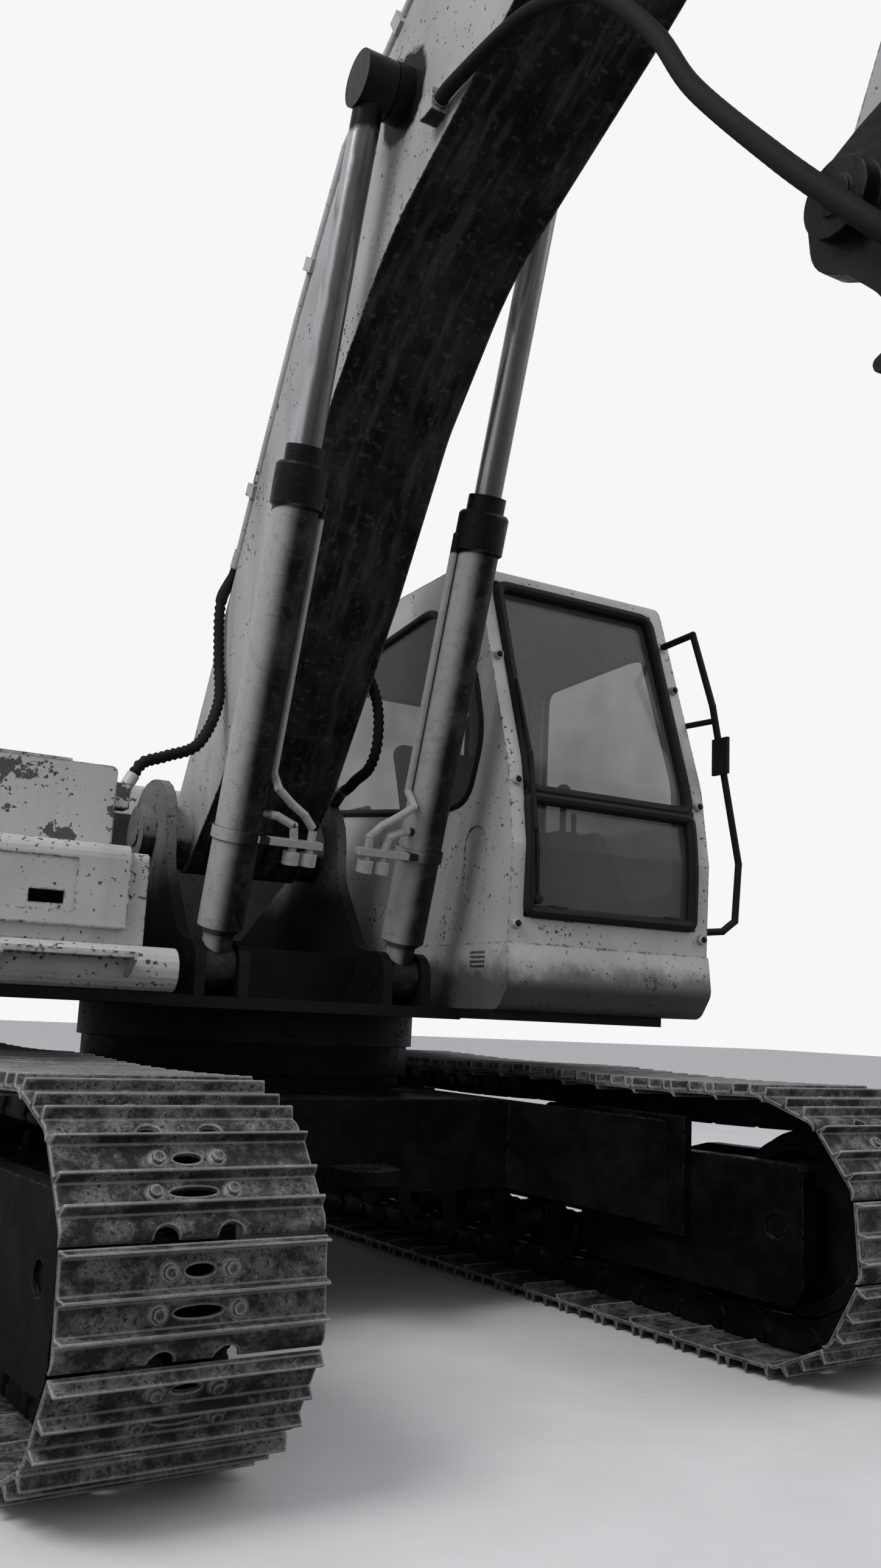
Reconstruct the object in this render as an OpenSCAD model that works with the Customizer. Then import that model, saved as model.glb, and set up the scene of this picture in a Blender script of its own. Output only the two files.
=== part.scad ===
// Crawler excavator with a hydraulic breaker, in millimetres.
// Origin on the ground under the swing centre, +Z up, the cab looks along -Y, +X is the cab's side.
// Side profiles are drawn as [ahead, up] points and slab() lays them across the machine.

/* [Tracks] */
// Distance between the centre lines of the two tracks
track_gauge = 2390; // [2350:10:2450]
// Width of a track shoe
shoe_width = 600; // [560:10:640]
// Distance between two chain pins
chain_pitch = 203; // [200:1:206]
// Shoes on one track
shoe_count = 49; // [48:1:50]
// Links that would wrap one full turn of the idler or the sprocket
wheel_links = 10.5; // [10.4:0.1:10.8]
// Height of a grouser's tip above the line of the pins
grouser_height = 104; // [100:1:110]
// Height of the shoe plate's outer face above the line of the pins
plate_height = 74; // [70:1:80]
// Thickness of the shoe plate
plate_thickness = 12; // [10:1:14]
// Half height of a chain link
link_depth = 48; // [44:1:50]
// Thickness of one side of the chain
rail_width = 45; // [40:1:50]
// Free width between the two sides of the chain
rail_gap = 100; // [90:1:110]
// Sag of the upper run between its rollers
chain_sag = 14; // [0:1:20]

/* [Undercarriage] */
// Turn of the tracks under the upper structure
track_turn = 4.2; // [-10:0.1:10]
// Half width of the track frame's box beam
beam_half = 150; // [140:1:160]
// Underside of the track frame's beam
beam_bottom = 350; // [345:1:360]
// Top of the track frame's beam
beam_top = 600; // [580:5:610]
// Half width over the frame's cheeks at idler and sprocket
cheek_half = 210; // [206:1:215]
// Thickness of a cheek
cheek_thickness = 65; // [55:1:70]
// Reach of the front cheeks ahead of the swing centre
cheek_front = 2070; // [2040:5:2100]
// Lower rollers on one side
roller_count = 9; // [7:1:9]
// Radius of a lower roller's tread
roller_radius = 85; // [80:1:88]
// Radius of an upper roller
carrier_radius = 68; // [60:1:72]
// Half length of the car body between its legs
body_reach = 950; // [900:10:1000]
// Underside of the car body
body_bottom = 450; // [430:5:470]
// Top of the car body
body_top = 770; // [755:1:780]
// Radius of the swing bearing
bearing_radius = 660; // [620:5:690]
// Height at which the swing bearing's fixed race ends
bearing_split = 940; // [900:5:960]

/* [Upper frame] */
// Height of the upper frame's underside
frame_bottom = 1065; // [1060:1:1080]
// Thickness of the upper frame's bottom plate
frame_plate = 35; // [30:1:40]
// Half width of the upper structure
upper_half = 1415; // [1400:5:1430]
// Height of the side rails
rail_height = 215; // [200:5:225]
// Front edge of the upper frame
frame_front = 1130; // [1100:10:1150]
// Rear edge of the upper frame
frame_rear = -2150; // [-2180:10:-2120]
// Radius of the counterweight's tail
tail_radius = 2950; // [2930:10:3000]
// Top of the counterweight
weight_top = 1950; // [1900:10:1960]
// Top of the engine hood
hood_top = 2140; // [2135:5:2160]

/* [Cab] */
// Inner side of the cab
cab_inner = 490; // [480:5:500]
// Width of the cab
cab_width = 925; // [900:5:930]
// Floor of the cab
cab_floor = 1340; // [1330:5:1350]
// Top of the cab's roof
cab_top = 2885; // [2860:5:2920]
// Rear face of the cab
cab_rear = -560; // [-600:10:-540]
// Front face of the cab at its foot
cab_front = 1205; // [1190:5:1220]
// Thickness of the cab's walls
cab_wall = 45; // [40:1:50]
// Thickness of the window glass
glass_thickness = 6; // [5:1:8]

/* [Boom] */
// Offset of the boom from the swing centre
boom_offset = -100; // [-110:5:-80]
// Distance between the boom's two pins
boom_length = 5850; // [5800:10:5900]
// Angle of the boom's pin line above level
boom_angle = 38.4; // [36:0.1:40]
// Width of the boom's box
boom_width = 480; // [460:5:490]
// Height of the boom's foot pin
boom_foot_up = 1740; // [1730:5:1750]
// Radius of the boom's foot pin
boom_pin = 52; // [48:1:55]
// Radius of the pin at the boom's tip
tip_pin = 45; // [42:1:48]

/* [Arm] */
// Distance between the arm's two pins
arm_length = 2950; // [2920:10:2980]
// Angle of the arm's pin line above level
arm_angle = -110.5; // [-112:0.5:-109]
// Width of the arm's box
arm_width = 290; // [280:2:296]
// Radius of the pins at the arm's tip
tool_pin = 40; // [38:1:44]

/* [Cylinders] */
// Distance of each boom cylinder from the boom's middle
lift_spread = 357; // [352:1:362]
// Boom cylinder's foot pin ahead of the swing centre
lift_foot_ahead = 800; // [790:5:810]
// Height of the boom cylinder's foot pin
lift_foot_up = 1200; // [1195:5:1210]
// Outer radius of a boom cylinder's barrel
lift_barrel = 80; // [76:1:82]
// Radius of a boom cylinder's rod
lift_rod = 50; // [46:1:52]
// Length of a boom cylinder from its foot pin to the end of its gland
lift_body = 1800; // [1780:5:1820]
// Outer radius of the arm cylinder's barrel
crowd_barrel = 84; // [80:1:88]
// Radius of the arm cylinder's rod
crowd_rod = 52; // [48:1:56]
// Length of the arm cylinder from its foot pin to the end of its gland
crowd_body = 1890; // [1870:5:1910]
// Outer radius of the tool cylinder's barrel
curl_barrel = 72; // [68:1:76]
// Radius of the tool cylinder's rod
curl_rod = 44; // [40:1:46]
// Length of the tool cylinder from its foot pin to the end of its gland
curl_body = 1460; // [1440:5:1470]

/* [Breaker] */
// Distance between the breaker bracket's two pins
pin_spread = 430; // [420:5:440]
// Lean of the breaker's top plate
breaker_lean = 21.6; // [18:0.2:24]
// Half width of the breaker bracket over its side plates
bracket_half = 205; // [200:1:210]
// Thickness of the bracket's side plates
bracket_plate = 50; // [45:1:52]
// Length of the breaker's housing
housing_length = 1250; // [1200:10:1280]
// Radius of the chisel
chisel_radius = 70; // [60:1:75]
// Length of chisel that shows
chisel_length = 560; // [500:10:580]

/* [Hidden] */

// Gap between faces that seat on each other
seat = 0.3;
// Running clearance of a pin in its bore
fit = 0.1;
// Free side clearance between parts that move past each other
side_gap = 5;

// Chain and wheels
pin_radius = chain_pitch / (2 * sin(180 / wheel_links));
axle_up = pin_radius + grouser_height;
run_links = (shoe_count - wheel_links) / 2;
half_base = chain_pitch * run_links / 2;
half_turn = wheel_links / 2;
tread_radius = pin_radius * cos(180 / wheel_links) - link_depth - seat;
roller_up = axle_up - pin_radius + link_depth + seat + roller_radius;
carrier_up = axle_up + pin_radius - link_depth - 4 - carrier_radius;

// Pins of the working gear, as [ahead, up]
boom_foot = [0, boom_foot_up];
boom_tip = boom_foot + boom_length * [cos(boom_angle), sin(boom_angle)];
arm_tip = boom_tip + arm_length * [cos(arm_angle), sin(arm_angle)];
lift_foot = [lift_foot_ahead, lift_foot_up];
// Boom cylinder's eye in the boom's own [along, above] frame
lift_eye_own = [2757, 775];
lift_eye = boom_foot + turned(lift_eye_own, boom_angle);
crowd_foot_own = [3250, 1200];
crowd_foot = boom_foot + turned(crowd_foot_own, boom_angle);
crowd_eye_own = [-750, 300];
crowd_eye = boom_tip + turned(crowd_eye_own, arm_angle);
curl_foot_own = [330, 640];
curl_foot = boom_tip + turned(curl_foot_own, arm_angle);
rocker_own = [arm_length - 460, 40];
rocker_pin = boom_tip + turned(rocker_own, arm_angle);
rocker_length = 600;
link_length = 590;
link_pin = arm_tip + pin_spread * [cos(breaker_lean), sin(breaker_lean)];
knee_pin = knee(rocker_pin, link_pin, rocker_length, link_length);

function turned(p, a) = [p.x * cos(a) - p.y * sin(a), p.x * sin(a) + p.y * cos(a)];
function unit(v) = v / norm(v);
function slope(v) = atan2(v.y, v.x);
// Where two bars of given lengths meet, on the left of the way from a to b
function knee(a, b, la, lb) =
    let(d = norm(b - a), u = (b - a) / d, k = (la * la - lb * lb + d * d) / (2 * d))
    a + k * u + sqrt(la * la - k * k) * [-u.y, u.x];
// Outline with rounded corners from rows of [x, y, corner radius]
function soften(rows, steps = 5) = [for (i = [0:len(rows) - 1])
    each corner(rows[(i + len(rows) - 1) % len(rows)], rows[i], rows[(i + 1) % len(rows)], steps)];
function flat(row) = [row[0], row[1]];
function corner(before, here, after, steps) =
    here[2] == 0 ? [flat(here)] :
    let(u = unit(flat(before) - flat(here)), v = unit(flat(after) - flat(here)),
        half = acos(max(-1, min(1, u * v))) / 2,
        centre = flat(here) + unit(u + v) * here[2] / sin(half),
        first = slope(flat(here) + u * here[2] / tan(half) - centre),
        last = slope(flat(here) + v * here[2] / tan(half) - centre),
        sweep = ((last - first + 540) % 360) - 180)
    [for (i = [0:steps]) centre + here[2] * [cos(first + sweep * i / steps),
        sin(first + sweep * i / steps)]];

// Lays an [ahead, up] outline across the machine, centred on x
module slab(x, width) {
    translate([x, 0, 0]) rotate([90, 0, -90]) linear_extrude(width, center = true) children();
}
// Round bar across the machine at an [ahead, up] place
module bar(at, x, width, radius) {
    translate([x, -at.x, at.y]) rotate([0, 90, 0]) cylinder(r = radius, h = width, center = true, $fn = 64);
}
// Puts what is drawn along +X from an [ahead, up] pin at a rise above level
module reach(at, rise, x = 0) {
    translate([x, -at.x, at.y]) rotate([-rise, 0, 0]) rotate([0, 0, -90]) children();
}
// Turned part about the +X axis from an outline of [radius, along]
module turned_bar() {
    rotate([0, 90, 0]) rotate_extrude($fn = 72) children();
}
module undercarriage() {
    rotate([0, 0, track_turn]) children();
}
module both_sides(spread) {
    for (side = [-1, 1]) translate([side * spread, 0, 0]) children();
}

// Place of a chain pin, s pitches on from the top of the idler
function chain_pin(s) =
    let(t = (s + shoe_count) % shoe_count)
    t < half_turn
        ? [half_base + pin_radius * sin(180 * t / half_turn),
            axle_up + pin_radius * cos(180 * t / half_turn)]
    : t < half_turn + run_links
        ? [half_base - (t - half_turn) * chain_pitch, axle_up - pin_radius]
    : t < 2 * half_turn + run_links
        ? let(a = 180 * (t - half_turn - run_links) / half_turn)
          [-half_base - pin_radius * sin(a), axle_up - pin_radius * cos(a)]
    : let(u = (t - 2 * half_turn - run_links) / run_links)
          [-half_base + u * run_links * chain_pitch, axle_up + pin_radius - chain_sag * abs(sin(540 * u))];
// Chain line moved outwards by rise, with a corner at each pin where the chain turns
function chain_line(rise) = [for (i = [0:shoe_count - 1])
    let(a = unit(chain_pin(i) - chain_pin(i - 1)), b = unit(chain_pin(i + 1) - chain_pin(i)),
        n = unit(a + b))
    if (abs(cross(a, b)) > 0.0005) chain_pin(i) + [-n.y, n.x] * rise / (n * b)];
// Side view of one shoe: columns are place along the chain and height above the pins
shoe_under = plate_height - plate_thickness;
shoe_front = (chain_pitch - 1) / 2;
shoe_rear = chain_pitch / 2 - 1.5;
shoe_profile = [
    [-shoe_front, shoe_under], [3 - shoe_front, grouser_height], [10 - shoe_front, grouser_height],
    [17 - shoe_front, plate_height], [-12, plate_height], [-3, grouser_height], [6, plate_height],
    [63, plate_height], [72, grouser_height], [81, plate_height], [shoe_rear, plate_height],
    [shoe_rear, shoe_under]];

module track(side) {
    translate([side * track_gauge / 2, 0, 0]) {
        for (i = [0:shoe_count - 1]) {
            from = chain_pin(i);
            to = chain_pin(i + 1);
            slab(0, shoe_width) translate((from + to) / 2) rotate(slope(to - from)) polygon(shoe_profile);
        }
        outer = chain_line(shoe_under - seat);
        inner = chain_line(-link_depth);
        both_sides((rail_gap + rail_width) / 2) slab(0, rail_width) difference() {
            polygon(outer);
            polygon(inner);
        }
    }
}
module track_right() { color("#3b3836") undercarriage() track(-1); }
module track_left() { color("#3b3836") undercarriage() track(1); }

// Front wheel that the chain runs over
module idler() {
    rim = rail_gap / 2 + rail_width;
    turned_bar() polygon([[40, -cheek_half + cheek_thickness + seat],
        [75, -cheek_half + cheek_thickness + seat],
        [75, -60], [tread_radius - 60, -30], [tread_radius - 45, -rim], [tread_radius, -rim],
        [tread_radius, 4 - rail_gap / 2], [tread_radius + 20, 12 - rail_gap / 2],
        [tread_radius + 20, rail_gap / 2 - 12], [tread_radius, rail_gap / 2 - 4], [tread_radius, rim],
        [tread_radius - 45, rim], [tread_radius - 60, 30], [75, 60],
        [75, cheek_half - cheek_thickness - seat], [40, cheek_half - cheek_thickness - seat]]);
}
module idler_wheels() {
    color("#2e2c2b") undercarriage() both_sides(track_gauge / 2) translate([0, -half_base, axle_up]) idler();
}

// Rear wheel: a toothed ring on the drum of the travel drive
module sprocket() {
    pockets = 2 * floor(wheel_links);
    rotate([0, 90, 0]) {
        linear_extrude(70, center = true) difference() {
            circle(r = pin_radius + 14, $fn = 96);
            for (i = [0:pockets - 1]) rotate(360 * i / pockets) translate([pin_radius, 0])
                circle(r = 33, $fn = 24);
        }
        translate([0, 0, seat - cheek_half + cheek_thickness]) cylinder(r = 225, h = 210, $fn = 72);
        // Drum of the travel drive, which shows on the outer side
        translate([0, 0, 60]) cylinder(r = 205, h = 110, $fn = 72);
        translate([0, 0, 170]) cylinder(r1 = 205, r2 = 150, h = 35, $fn = 72);
    }
}
module sprocket_wheels() {
    color("#2e2c2b") undercarriage() for (side = [-1, 1])
        translate([side * track_gauge / 2, half_base, axle_up]) scale([side, 1, 1]) sprocket();
}

// Lower roller with its two flanges and the blocks that bolt it under the beam
module roller() {
    rim = rail_gap / 2 + rail_width;
    turned_bar() polygon([[0, -rim - 20], [roller_radius + 18, -rim - 20], [roller_radius + 16, -rim - 5],
        [roller_radius, -rim], [roller_radius, -rail_gap / 2], [roller_radius - 12, 10 - rail_gap / 2],
        [roller_radius - 12, rail_gap / 2 - 10], [roller_radius, rail_gap / 2], [roller_radius, rim],
        [roller_radius + 16, rim + 5], [roller_radius + 18, rim + 20], [0, rim + 20]]);
    both_sides(rim + 32) translate([-12, -45, -40]) cube([24, 90, beam_bottom - roller_up + 40]);
}
module lower_rollers() {
    step = 2 * (half_base - tread_radius - roller_radius - 110) / (roller_count - 1);
    color("#262423") undercarriage() both_sides(track_gauge / 2) for (i = [0:roller_count - 1])
        translate([0, (i - (roller_count - 1) / 2) * step, roller_up]) roller();
}
module upper_rollers() {
    color("#262423") undercarriage() both_sides(track_gauge / 2)
        for (u = [-1, 1]) translate([0, u * half_base / 3, carrier_up]) {
            rotate([0, 90, 0]) cylinder(r = carrier_radius, h = rail_gap + 2 * rail_width, center = true,
                $fn = 48);
            rotate([0, 90, 0]) cylinder(r = 28, h = 2 * (beam_half - 20), center = true, $fn = 32);
        }
}

// One side's frame: box beam, cheeks that hold idler and sprocket, posts for the upper rollers
module track_frame(side) {
    half = beam_half;
    rotate([90, 0, 0]) linear_extrude(2 * (half_base - tread_radius - 120), center = true)
        polygon([[-half, beam_bottom], [half, beam_bottom], [half, beam_top - 90], [half - 55, beam_top],
            [55 - half, beam_top], [-half, beam_top - 90]]);
    cheek = [[1000, 210, 60], [cheek_front, 210, 80], [cheek_front, 650, 45], [1300, 640, 0],
        [1000, 560, 0]];
    stern = [[-1000, 230, 60], [-1000, 560, 0], [-1300, 625, 0], [-half_base, 690, 0],
        [-half_base - 190, axle_up + 120, 90], [-half_base - 190, axle_up - 120, 90], [-half_base, 230, 0]];
    both_sides(cheek_half - cheek_thickness / 2) difference() {
        slab(0, cheek_thickness) polygon(soften(cheek));
        translate([0, -half_base, axle_up]) rotate([0, 90, 0])
            cylinder(r = 40, h = 200, center = true, $fn = 48);
    }
    // The stern plate carries the travel drive from the inner side
    translate([-side * (cheek_half - cheek_thickness / 2), 0, 0]) slab(0, cheek_thickness)
        polygon(soften(stern));
    translate([-side * (cheek_half + 30), half_base, axle_up]) rotate([0, 90, 0])
        cylinder(r = 130, h = 62, center = true, $fn = 64);
    // Cross walls that tie the cheeks to the beam
    for (y = [-1150, 1150]) translate([-cheek_half + 20, y - 60, beam_bottom + 10])
        cube([2 * cheek_half - 40, 120, 200]);
    both_sides(beam_half - 20 + 18) for (u = [-1, 1]) translate([0, u * half_base / 3, 0])
        rotate([90, 0, 0]) linear_extrude(70, center = true)
            polygon([[-18 + seat, beam_top - 130], [18, beam_top - 130], [18, carrier_up + 40],
                [-18 + seat, carrier_up + 40]]);
    // Idler's axle
    bar([half_base, axle_up], 0, 2 * cheek_half - 20, 40 - fit);
}
module track_frame_right() {
    color("#33302e") undercarriage() translate([-track_gauge / 2, 0, 0]) track_frame(-1);
}
module track_frame_left() {
    color("#33302e") undercarriage() translate([track_gauge / 2, 0, 0]) track_frame(1);
}

tow_eye_thickness = 50;
tow_eye_hole = 35;
tow_eye_reach = 90;
// Car body: centre box with four legs that end in plates on the track frames
module car_body() {
    inner = track_gauge / 2 - cheek_half - seat;
    leg_front = 1550;
    leg_back = 1060;
    color("#33302e") undercarriage() {
        intersection() {
            translate([0, 0, body_bottom - 100]) linear_extrude(body_top - body_bottom + 100) {
                square([1400, 2 * body_reach], center = true);
                for (a = [-1, 1], b = [-1, 1]) polygon([[a * 500, b * 500], [a * 700, b * 640],
                    [a * inner, b * leg_back], [a * inner, b * leg_front], [a * 650, b * body_reach],
                    [a * 300, b * body_reach]]);
            }
            rotate([90, 0, 0]) linear_extrude(4000, center = true)
                polygon([[-inner, body_bottom - 80], [-650, body_bottom], [650, body_bottom],
                    [inner, body_bottom - 80],
                    [inner, body_top - 35], [650, body_top], [-650, body_top], [-inner, body_top - 35]]);
        }
        for (a = [-1, 1], b = [-1, 1]) translate([a * (inner - 18), b * (leg_front + leg_back) / 2, 560])
            cube([36, leg_front - leg_back + 50, 400], center = true);
        // Tow eyes at both ends, for an upright pin
        for (end = [0, 1]) mirror([0, end, 0]) translate([0, -body_reach, body_bottom + 45])
            linear_extrude(tow_eye_thickness) difference() {
                polygon(soften([[-120, 50, 0], [-95, -tow_eye_reach - 80, 70],
                    [95, -tow_eye_reach - 80, 70], [120, 50, 0]]));
                translate([0, -tow_eye_reach]) circle(r = tow_eye_hole, $fn = 48);
            }
        translate([0, 0, body_bottom + 20])
            cylinder(r = bearing_radius - 30, h = body_top + 40 - body_bottom, $fn = 96);
    }
}
module swing_bearing() {
    color("#262423") translate([0, 0, body_top + 60]) difference() {
        cylinder(r = bearing_radius, h = bearing_split - body_top - 60, $fn = 96);
        translate([0, 0, -1]) cylinder(r = bearing_radius - 130, h = bearing_split, $fn = 96);
    }
}

// Upper frame: bottom plate, boom brackets, cylinder lugs and the moving race below
foot_half = 340;
bracket_gap = foot_half + side_gap;
bracket_thickness = 42;
boss_reach = bracket_gap + bracket_thickness + 55;
boom_bracket = [[-900, frame_bottom, 0], [-900, 1330, 120], [-260, 1640, 60], [-225, 1965, 225],
    [225, 1965, 225], [260, 1600, 200], [480, 1330, 120], [640, 1290, 60], [690, frame_bottom, 0]];
nose_front = 925;
module upper_frame() {
    color("#4a4846") {
        difference() {
            union() {
                translate([0, 0, bearing_split + seat]) cylinder(r = bearing_radius + 20,
                    h = frame_bottom - bearing_split - seat, $fn = 96);
                // Deck, set back between the cab and the tool box where the boom comes down
                translate([0, 0, frame_bottom]) linear_extrude(frame_plate)
                    polygon([[-upper_half + 160, -frame_rear], [-upper_half + 160, -frame_front],
                        [-700, -frame_front],
                        [-700, -nose_front], [cab_inner - 20, -nose_front], [cab_inner - 20, -frame_front],
                        [upper_half - 160, -frame_front], [upper_half - 160, -frame_rear]]);
                for (side = [-1, 1]) {
                    x = boom_offset + side * (bracket_gap + bracket_thickness / 2);
                    slab(x, bracket_thickness) polygon(soften(boom_bracket));
                    bar(boom_foot, boom_offset + side * (bracket_gap + boss_reach) / 2,
                        boss_reach - bracket_gap, 115);
                    // Lugs on both sides of a boom cylinder's foot
                    for (lug = [-1, 1])
                        slab(boom_offset + side * lift_spread + lug * (lift_eye_half + side_gap + 19), 38)
                            polygon(soften([[lift_foot.x - 260, frame_bottom, 0],
                                [lift_foot.x - 95, lift_foot.y + 95, 90],
                                [lift_foot.x + 95, lift_foot.y + 95, 90],
                                [lift_foot.x + 105, frame_bottom, 0]]));
                }
                // Cross walls between the boom brackets
                for (y = [560, -860]) translate([boom_offset - bracket_gap - 2, -y - 20, frame_bottom])
                    cube([2 * bracket_gap + 4, 40, 220]);
                // Front edge of the deck's middle
                translate([-700, -nose_front - 6, frame_bottom - 6]) cube([680 + cab_inner, 14, 30]);
            }
            translate([0, 0, bearing_split - 10])
                cylinder(r = bearing_radius - 130, h = frame_bottom - bearing_split + 9, $fn = 96);
            bar(boom_foot, boom_offset, 1200, boom_pin);
            bar(lift_foot, boom_offset, 1600, 45);
        }
        bar(boom_foot, boom_offset, 2 * boss_reach + 12, boom_pin - fit);
        // Fitting for the left foot hose on top of the left bracket
        hose_fitting(left_foot_route, 70, 24);
        straight(left_foot_route[len(left_foot_route) - 1] + [4, 40, -4], [266, -120, 1925], 23);
        for (side = [-1, 1]) bar(lift_foot, boom_offset + side * lift_spread,
            2 * (lift_eye_half + side_gap + 38) + 10, 45 - fit);
    }
}
lift_eye_half = 55;

// Rails along both sides of the deck, with a step at the right front corner
rail_section = [[0, 0, 0], [0, rail_height, 0], [100, rail_height, 60], [160, rail_height - 70, 60],
    [160, 60, 50], [120, 0, 20]];
module side_rails() {
    color("#8f8f8c") for (side = [-1, 1]) {
        front = side < 0 ? box_back : cab_rear - seat;
        translate([side * (upper_half - 160), 0, frame_bottom]) rotate([90, 0, 0])
            translate([0, 0, frame_rear + 60]) linear_extrude(front - frame_rear - 60)
                scale([side, 1]) polygon(soften(rail_section));
    }
    // Beam across the right front corner, with a round nose that serves as the lowest step
    beam_inner = 700 + seat;
    color("#8f8f8c") slab(-(upper_half - 5 + beam_inner) / 2, upper_half - 5 - beam_inner)
        polygon(soften([[box_back + seat, frame_bottom + frame_plate + seat, 0],
            [box_back + seat, step_top, 0],
            [frame_front + 45, step_top, 65], [frame_front + 45, frame_bottom + frame_plate + seat, 65]]));
    // Ribbed tread with its two gussets
    color("#8f8f8c") {
        slab(-tread_middle, tread_width)
            polygon([[frame_front + 30, step_top - 42], [frame_front + 30, step_top - 30],
            [frame_front + 125, step_top - 30], [frame_front + 125, step_top - 42]]);
        for (rib = [0:2]) translate([-tread_middle - tread_width / 2, -frame_front - 60 - rib * 26 - 8,
            step_top - 34])
            cube([tread_width, 8, 10]);
        for (end = [-1, 1]) slab(-tread_middle + end * (tread_width / 2 - 4), 8)
            polygon([[frame_front + 30, step_top - 34], [frame_front + 30, step_top - 100],
                [frame_front + 60, step_top - 96], [frame_front + 125, step_top - 50],
                [frame_front + 125, step_top - 34]]);
    }
}
// Rear face of the tool box, and the top of the beam that it stands on
box_back = 590;
step_top = 1240;
tread_middle = 1060;
tread_width = 400;

// Counterweight with a round tail
module counterweight() {
    color("#8f8f8c") difference() {
        intersection() {
            translate([0, 0, frame_bottom + 5])
                cylinder(r = tail_radius, h = weight_top - frame_bottom - 5, $fn = 128);
            translate([-upper_half + 10, -frame_rear + seat, 0]) cube([2 * upper_half - 20, 1200, 3000]);
            slab(0, 4000) polygon(soften([[frame_rear, frame_bottom, 0],
                [-tail_radius + 60, frame_bottom, 120],
                [-tail_radius - 60, 1300, 200], [-tail_radius - 20, weight_top, 110],
                [frame_rear, weight_top, 0]]));
        }
        // Lifting eyes' wells
        both_sides(520) translate([0, tail_radius - 420, weight_top - 60])
            cylinder(r = 70, h = 100, $fn = 40);
    }
}

hinge_radius = 11;
hinge_pin = 6;
hinge_height = 90;
hinge_ear = 14;
// Moving half of a door hinge: out is the side its panel faces, along the way to the panel
module hinge_knuckle(out, along) {
    difference() {
        union() {
            cylinder(r = hinge_radius, h = hinge_height, $fn = 32);
            translate([out > 0 ? -hinge_radius - 3 : 0, along > 0 ? 0 : -34, 0])
                cube([hinge_radius + 3, 34, hinge_height]);
        }
        translate([0, 0, -1]) cylinder(r = hinge_pin + fit, h = hinge_height + 2, $fn = 32);
    }
}
// Fixed half: two ears with the pin between them
module hinge_ears(out, along) {
    for (z = [-hinge_ear - seat, hinge_height + seat]) translate([0, 0, z]) {
        cylinder(r = hinge_radius, h = hinge_ear, $fn = 32);
        translate([out > 0 ? -hinge_radius - 3 : 0, along > 0 ? -34 : 0, 0])
            cube([hinge_radius + 3, 34, hinge_ear]);
    }
    translate([0, 0, -hinge_ear]) cylinder(r = hinge_pin, h = hinge_height + 2 * hinge_ear, $fn = 32);
}
engine_box = [1500, 700, 760];
module engine_block() {
    color("#2c2c2c") translate([-750, 1330, frame_bottom + frame_plate + seat]) cube(engine_box);
}

// Engine room: side walls with door openings, and the hood on top
hood_low = hood_top - 180;
hood_front = 1010;
service_hinge_out = upper_half - 10 + hinge_radius;
service_span = 930;
service_hinge_back = hood_front + 90 + service_span - side_gap / 2;
service_hinges = [frame_bottom + rail_height + 150, hood_low - 210];
module hood_sides() {
    wall = 30;
    low = frame_bottom + rail_height + seat;
    high = hood_low;
    color("#8f8f8c") difference() {
        translate([-upper_half + 10, hood_front, low])
            cube([2 * upper_half - 20, -frame_rear - hood_front - seat, high - low]);
        translate([-upper_half + 10 + wall, hood_front + wall, low - 1])
            cube([2 * upper_half - 20 - 2 * wall, -frame_rear - hood_front - 2 * wall, high]);
        // Door openings in both sides
        translate([-upper_half - 10, hood_front + 90, low + 70]) cube([100, service_span, high - low - 130]);
        translate([upper_half - 90, hood_front + 90, low + 70]) cube([100, service_span, high - low - 130]);
        hood_hinge_places() cylinder(r = hood_hinge_radius + seat, h = 2 * (hood_hinge_half + seat),
            center = true, $fn = 32);
    }
    color("#8f8f8c") hood_hinge_ears();
    color("#8f8f8c") for (side = [-1, 1], z = service_hinges)
        translate([side * service_hinge_out, service_hinge_back, z])
        hinge_ears(side, -1);
    // Fixed cover over the pump and the exhaust
    color("#8f8f8c") difference() {
        slab(-(upper_half - 10 - hood_split) / 2 - hood_split, upper_half - 10 - hood_split) hood_shape(0);
        slab(-(upper_half - 10 - hood_split) / 2 - hood_split, upper_half - 10 - hood_split - 60)
            hood_hollow();
        translate([-stack_right, 1620, hood_top - 100]) cylinder(r = 62 + seat, h = 200, $fn = 48);
    }
}
hood_split = 560;
stack_right = 680;
module hood_shape(lift) {
    low = hood_low + lift;
    polygon(soften([[-hood_front, low, 0], [-hood_front - 40, hood_top - 20, 60],
        [frame_rear + 60, hood_top, 120], [frame_rear + seat, low, 0]]));
}
module hood_hollow() {
    polygon([[-hood_front - 40, hood_low - 1], [-hood_front - 75, hood_top - 55],
        [frame_rear + 95, hood_top - 35], [frame_rear + 35, hood_low - 1]]);
}
module service_door(side) {
    low = frame_bottom + rail_height + seat + 70 + side_gap;
    high = hood_low - 60 - side_gap;
    x = side * (upper_half - 10 - 13);
    difference() {
        translate([x - 13, hood_front + 90 + side_gap, low])
            cube([26, service_span - 2 * side_gap, high - low]);
        // Louvre slots
        for (i = [0:7]) translate([x - 40, hood_front + 190, low + 110 + i * 42]) cube([80, 420, 16]);
    }
    for (z = service_hinges) translate([side * service_hinge_out, service_hinge_back, z])
        hinge_knuckle(side, -1);
}
module right_service_door() { color("#8f8f8c") service_door(-1); }
module left_service_door() { color("#8f8f8c") service_door(1); }
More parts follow.
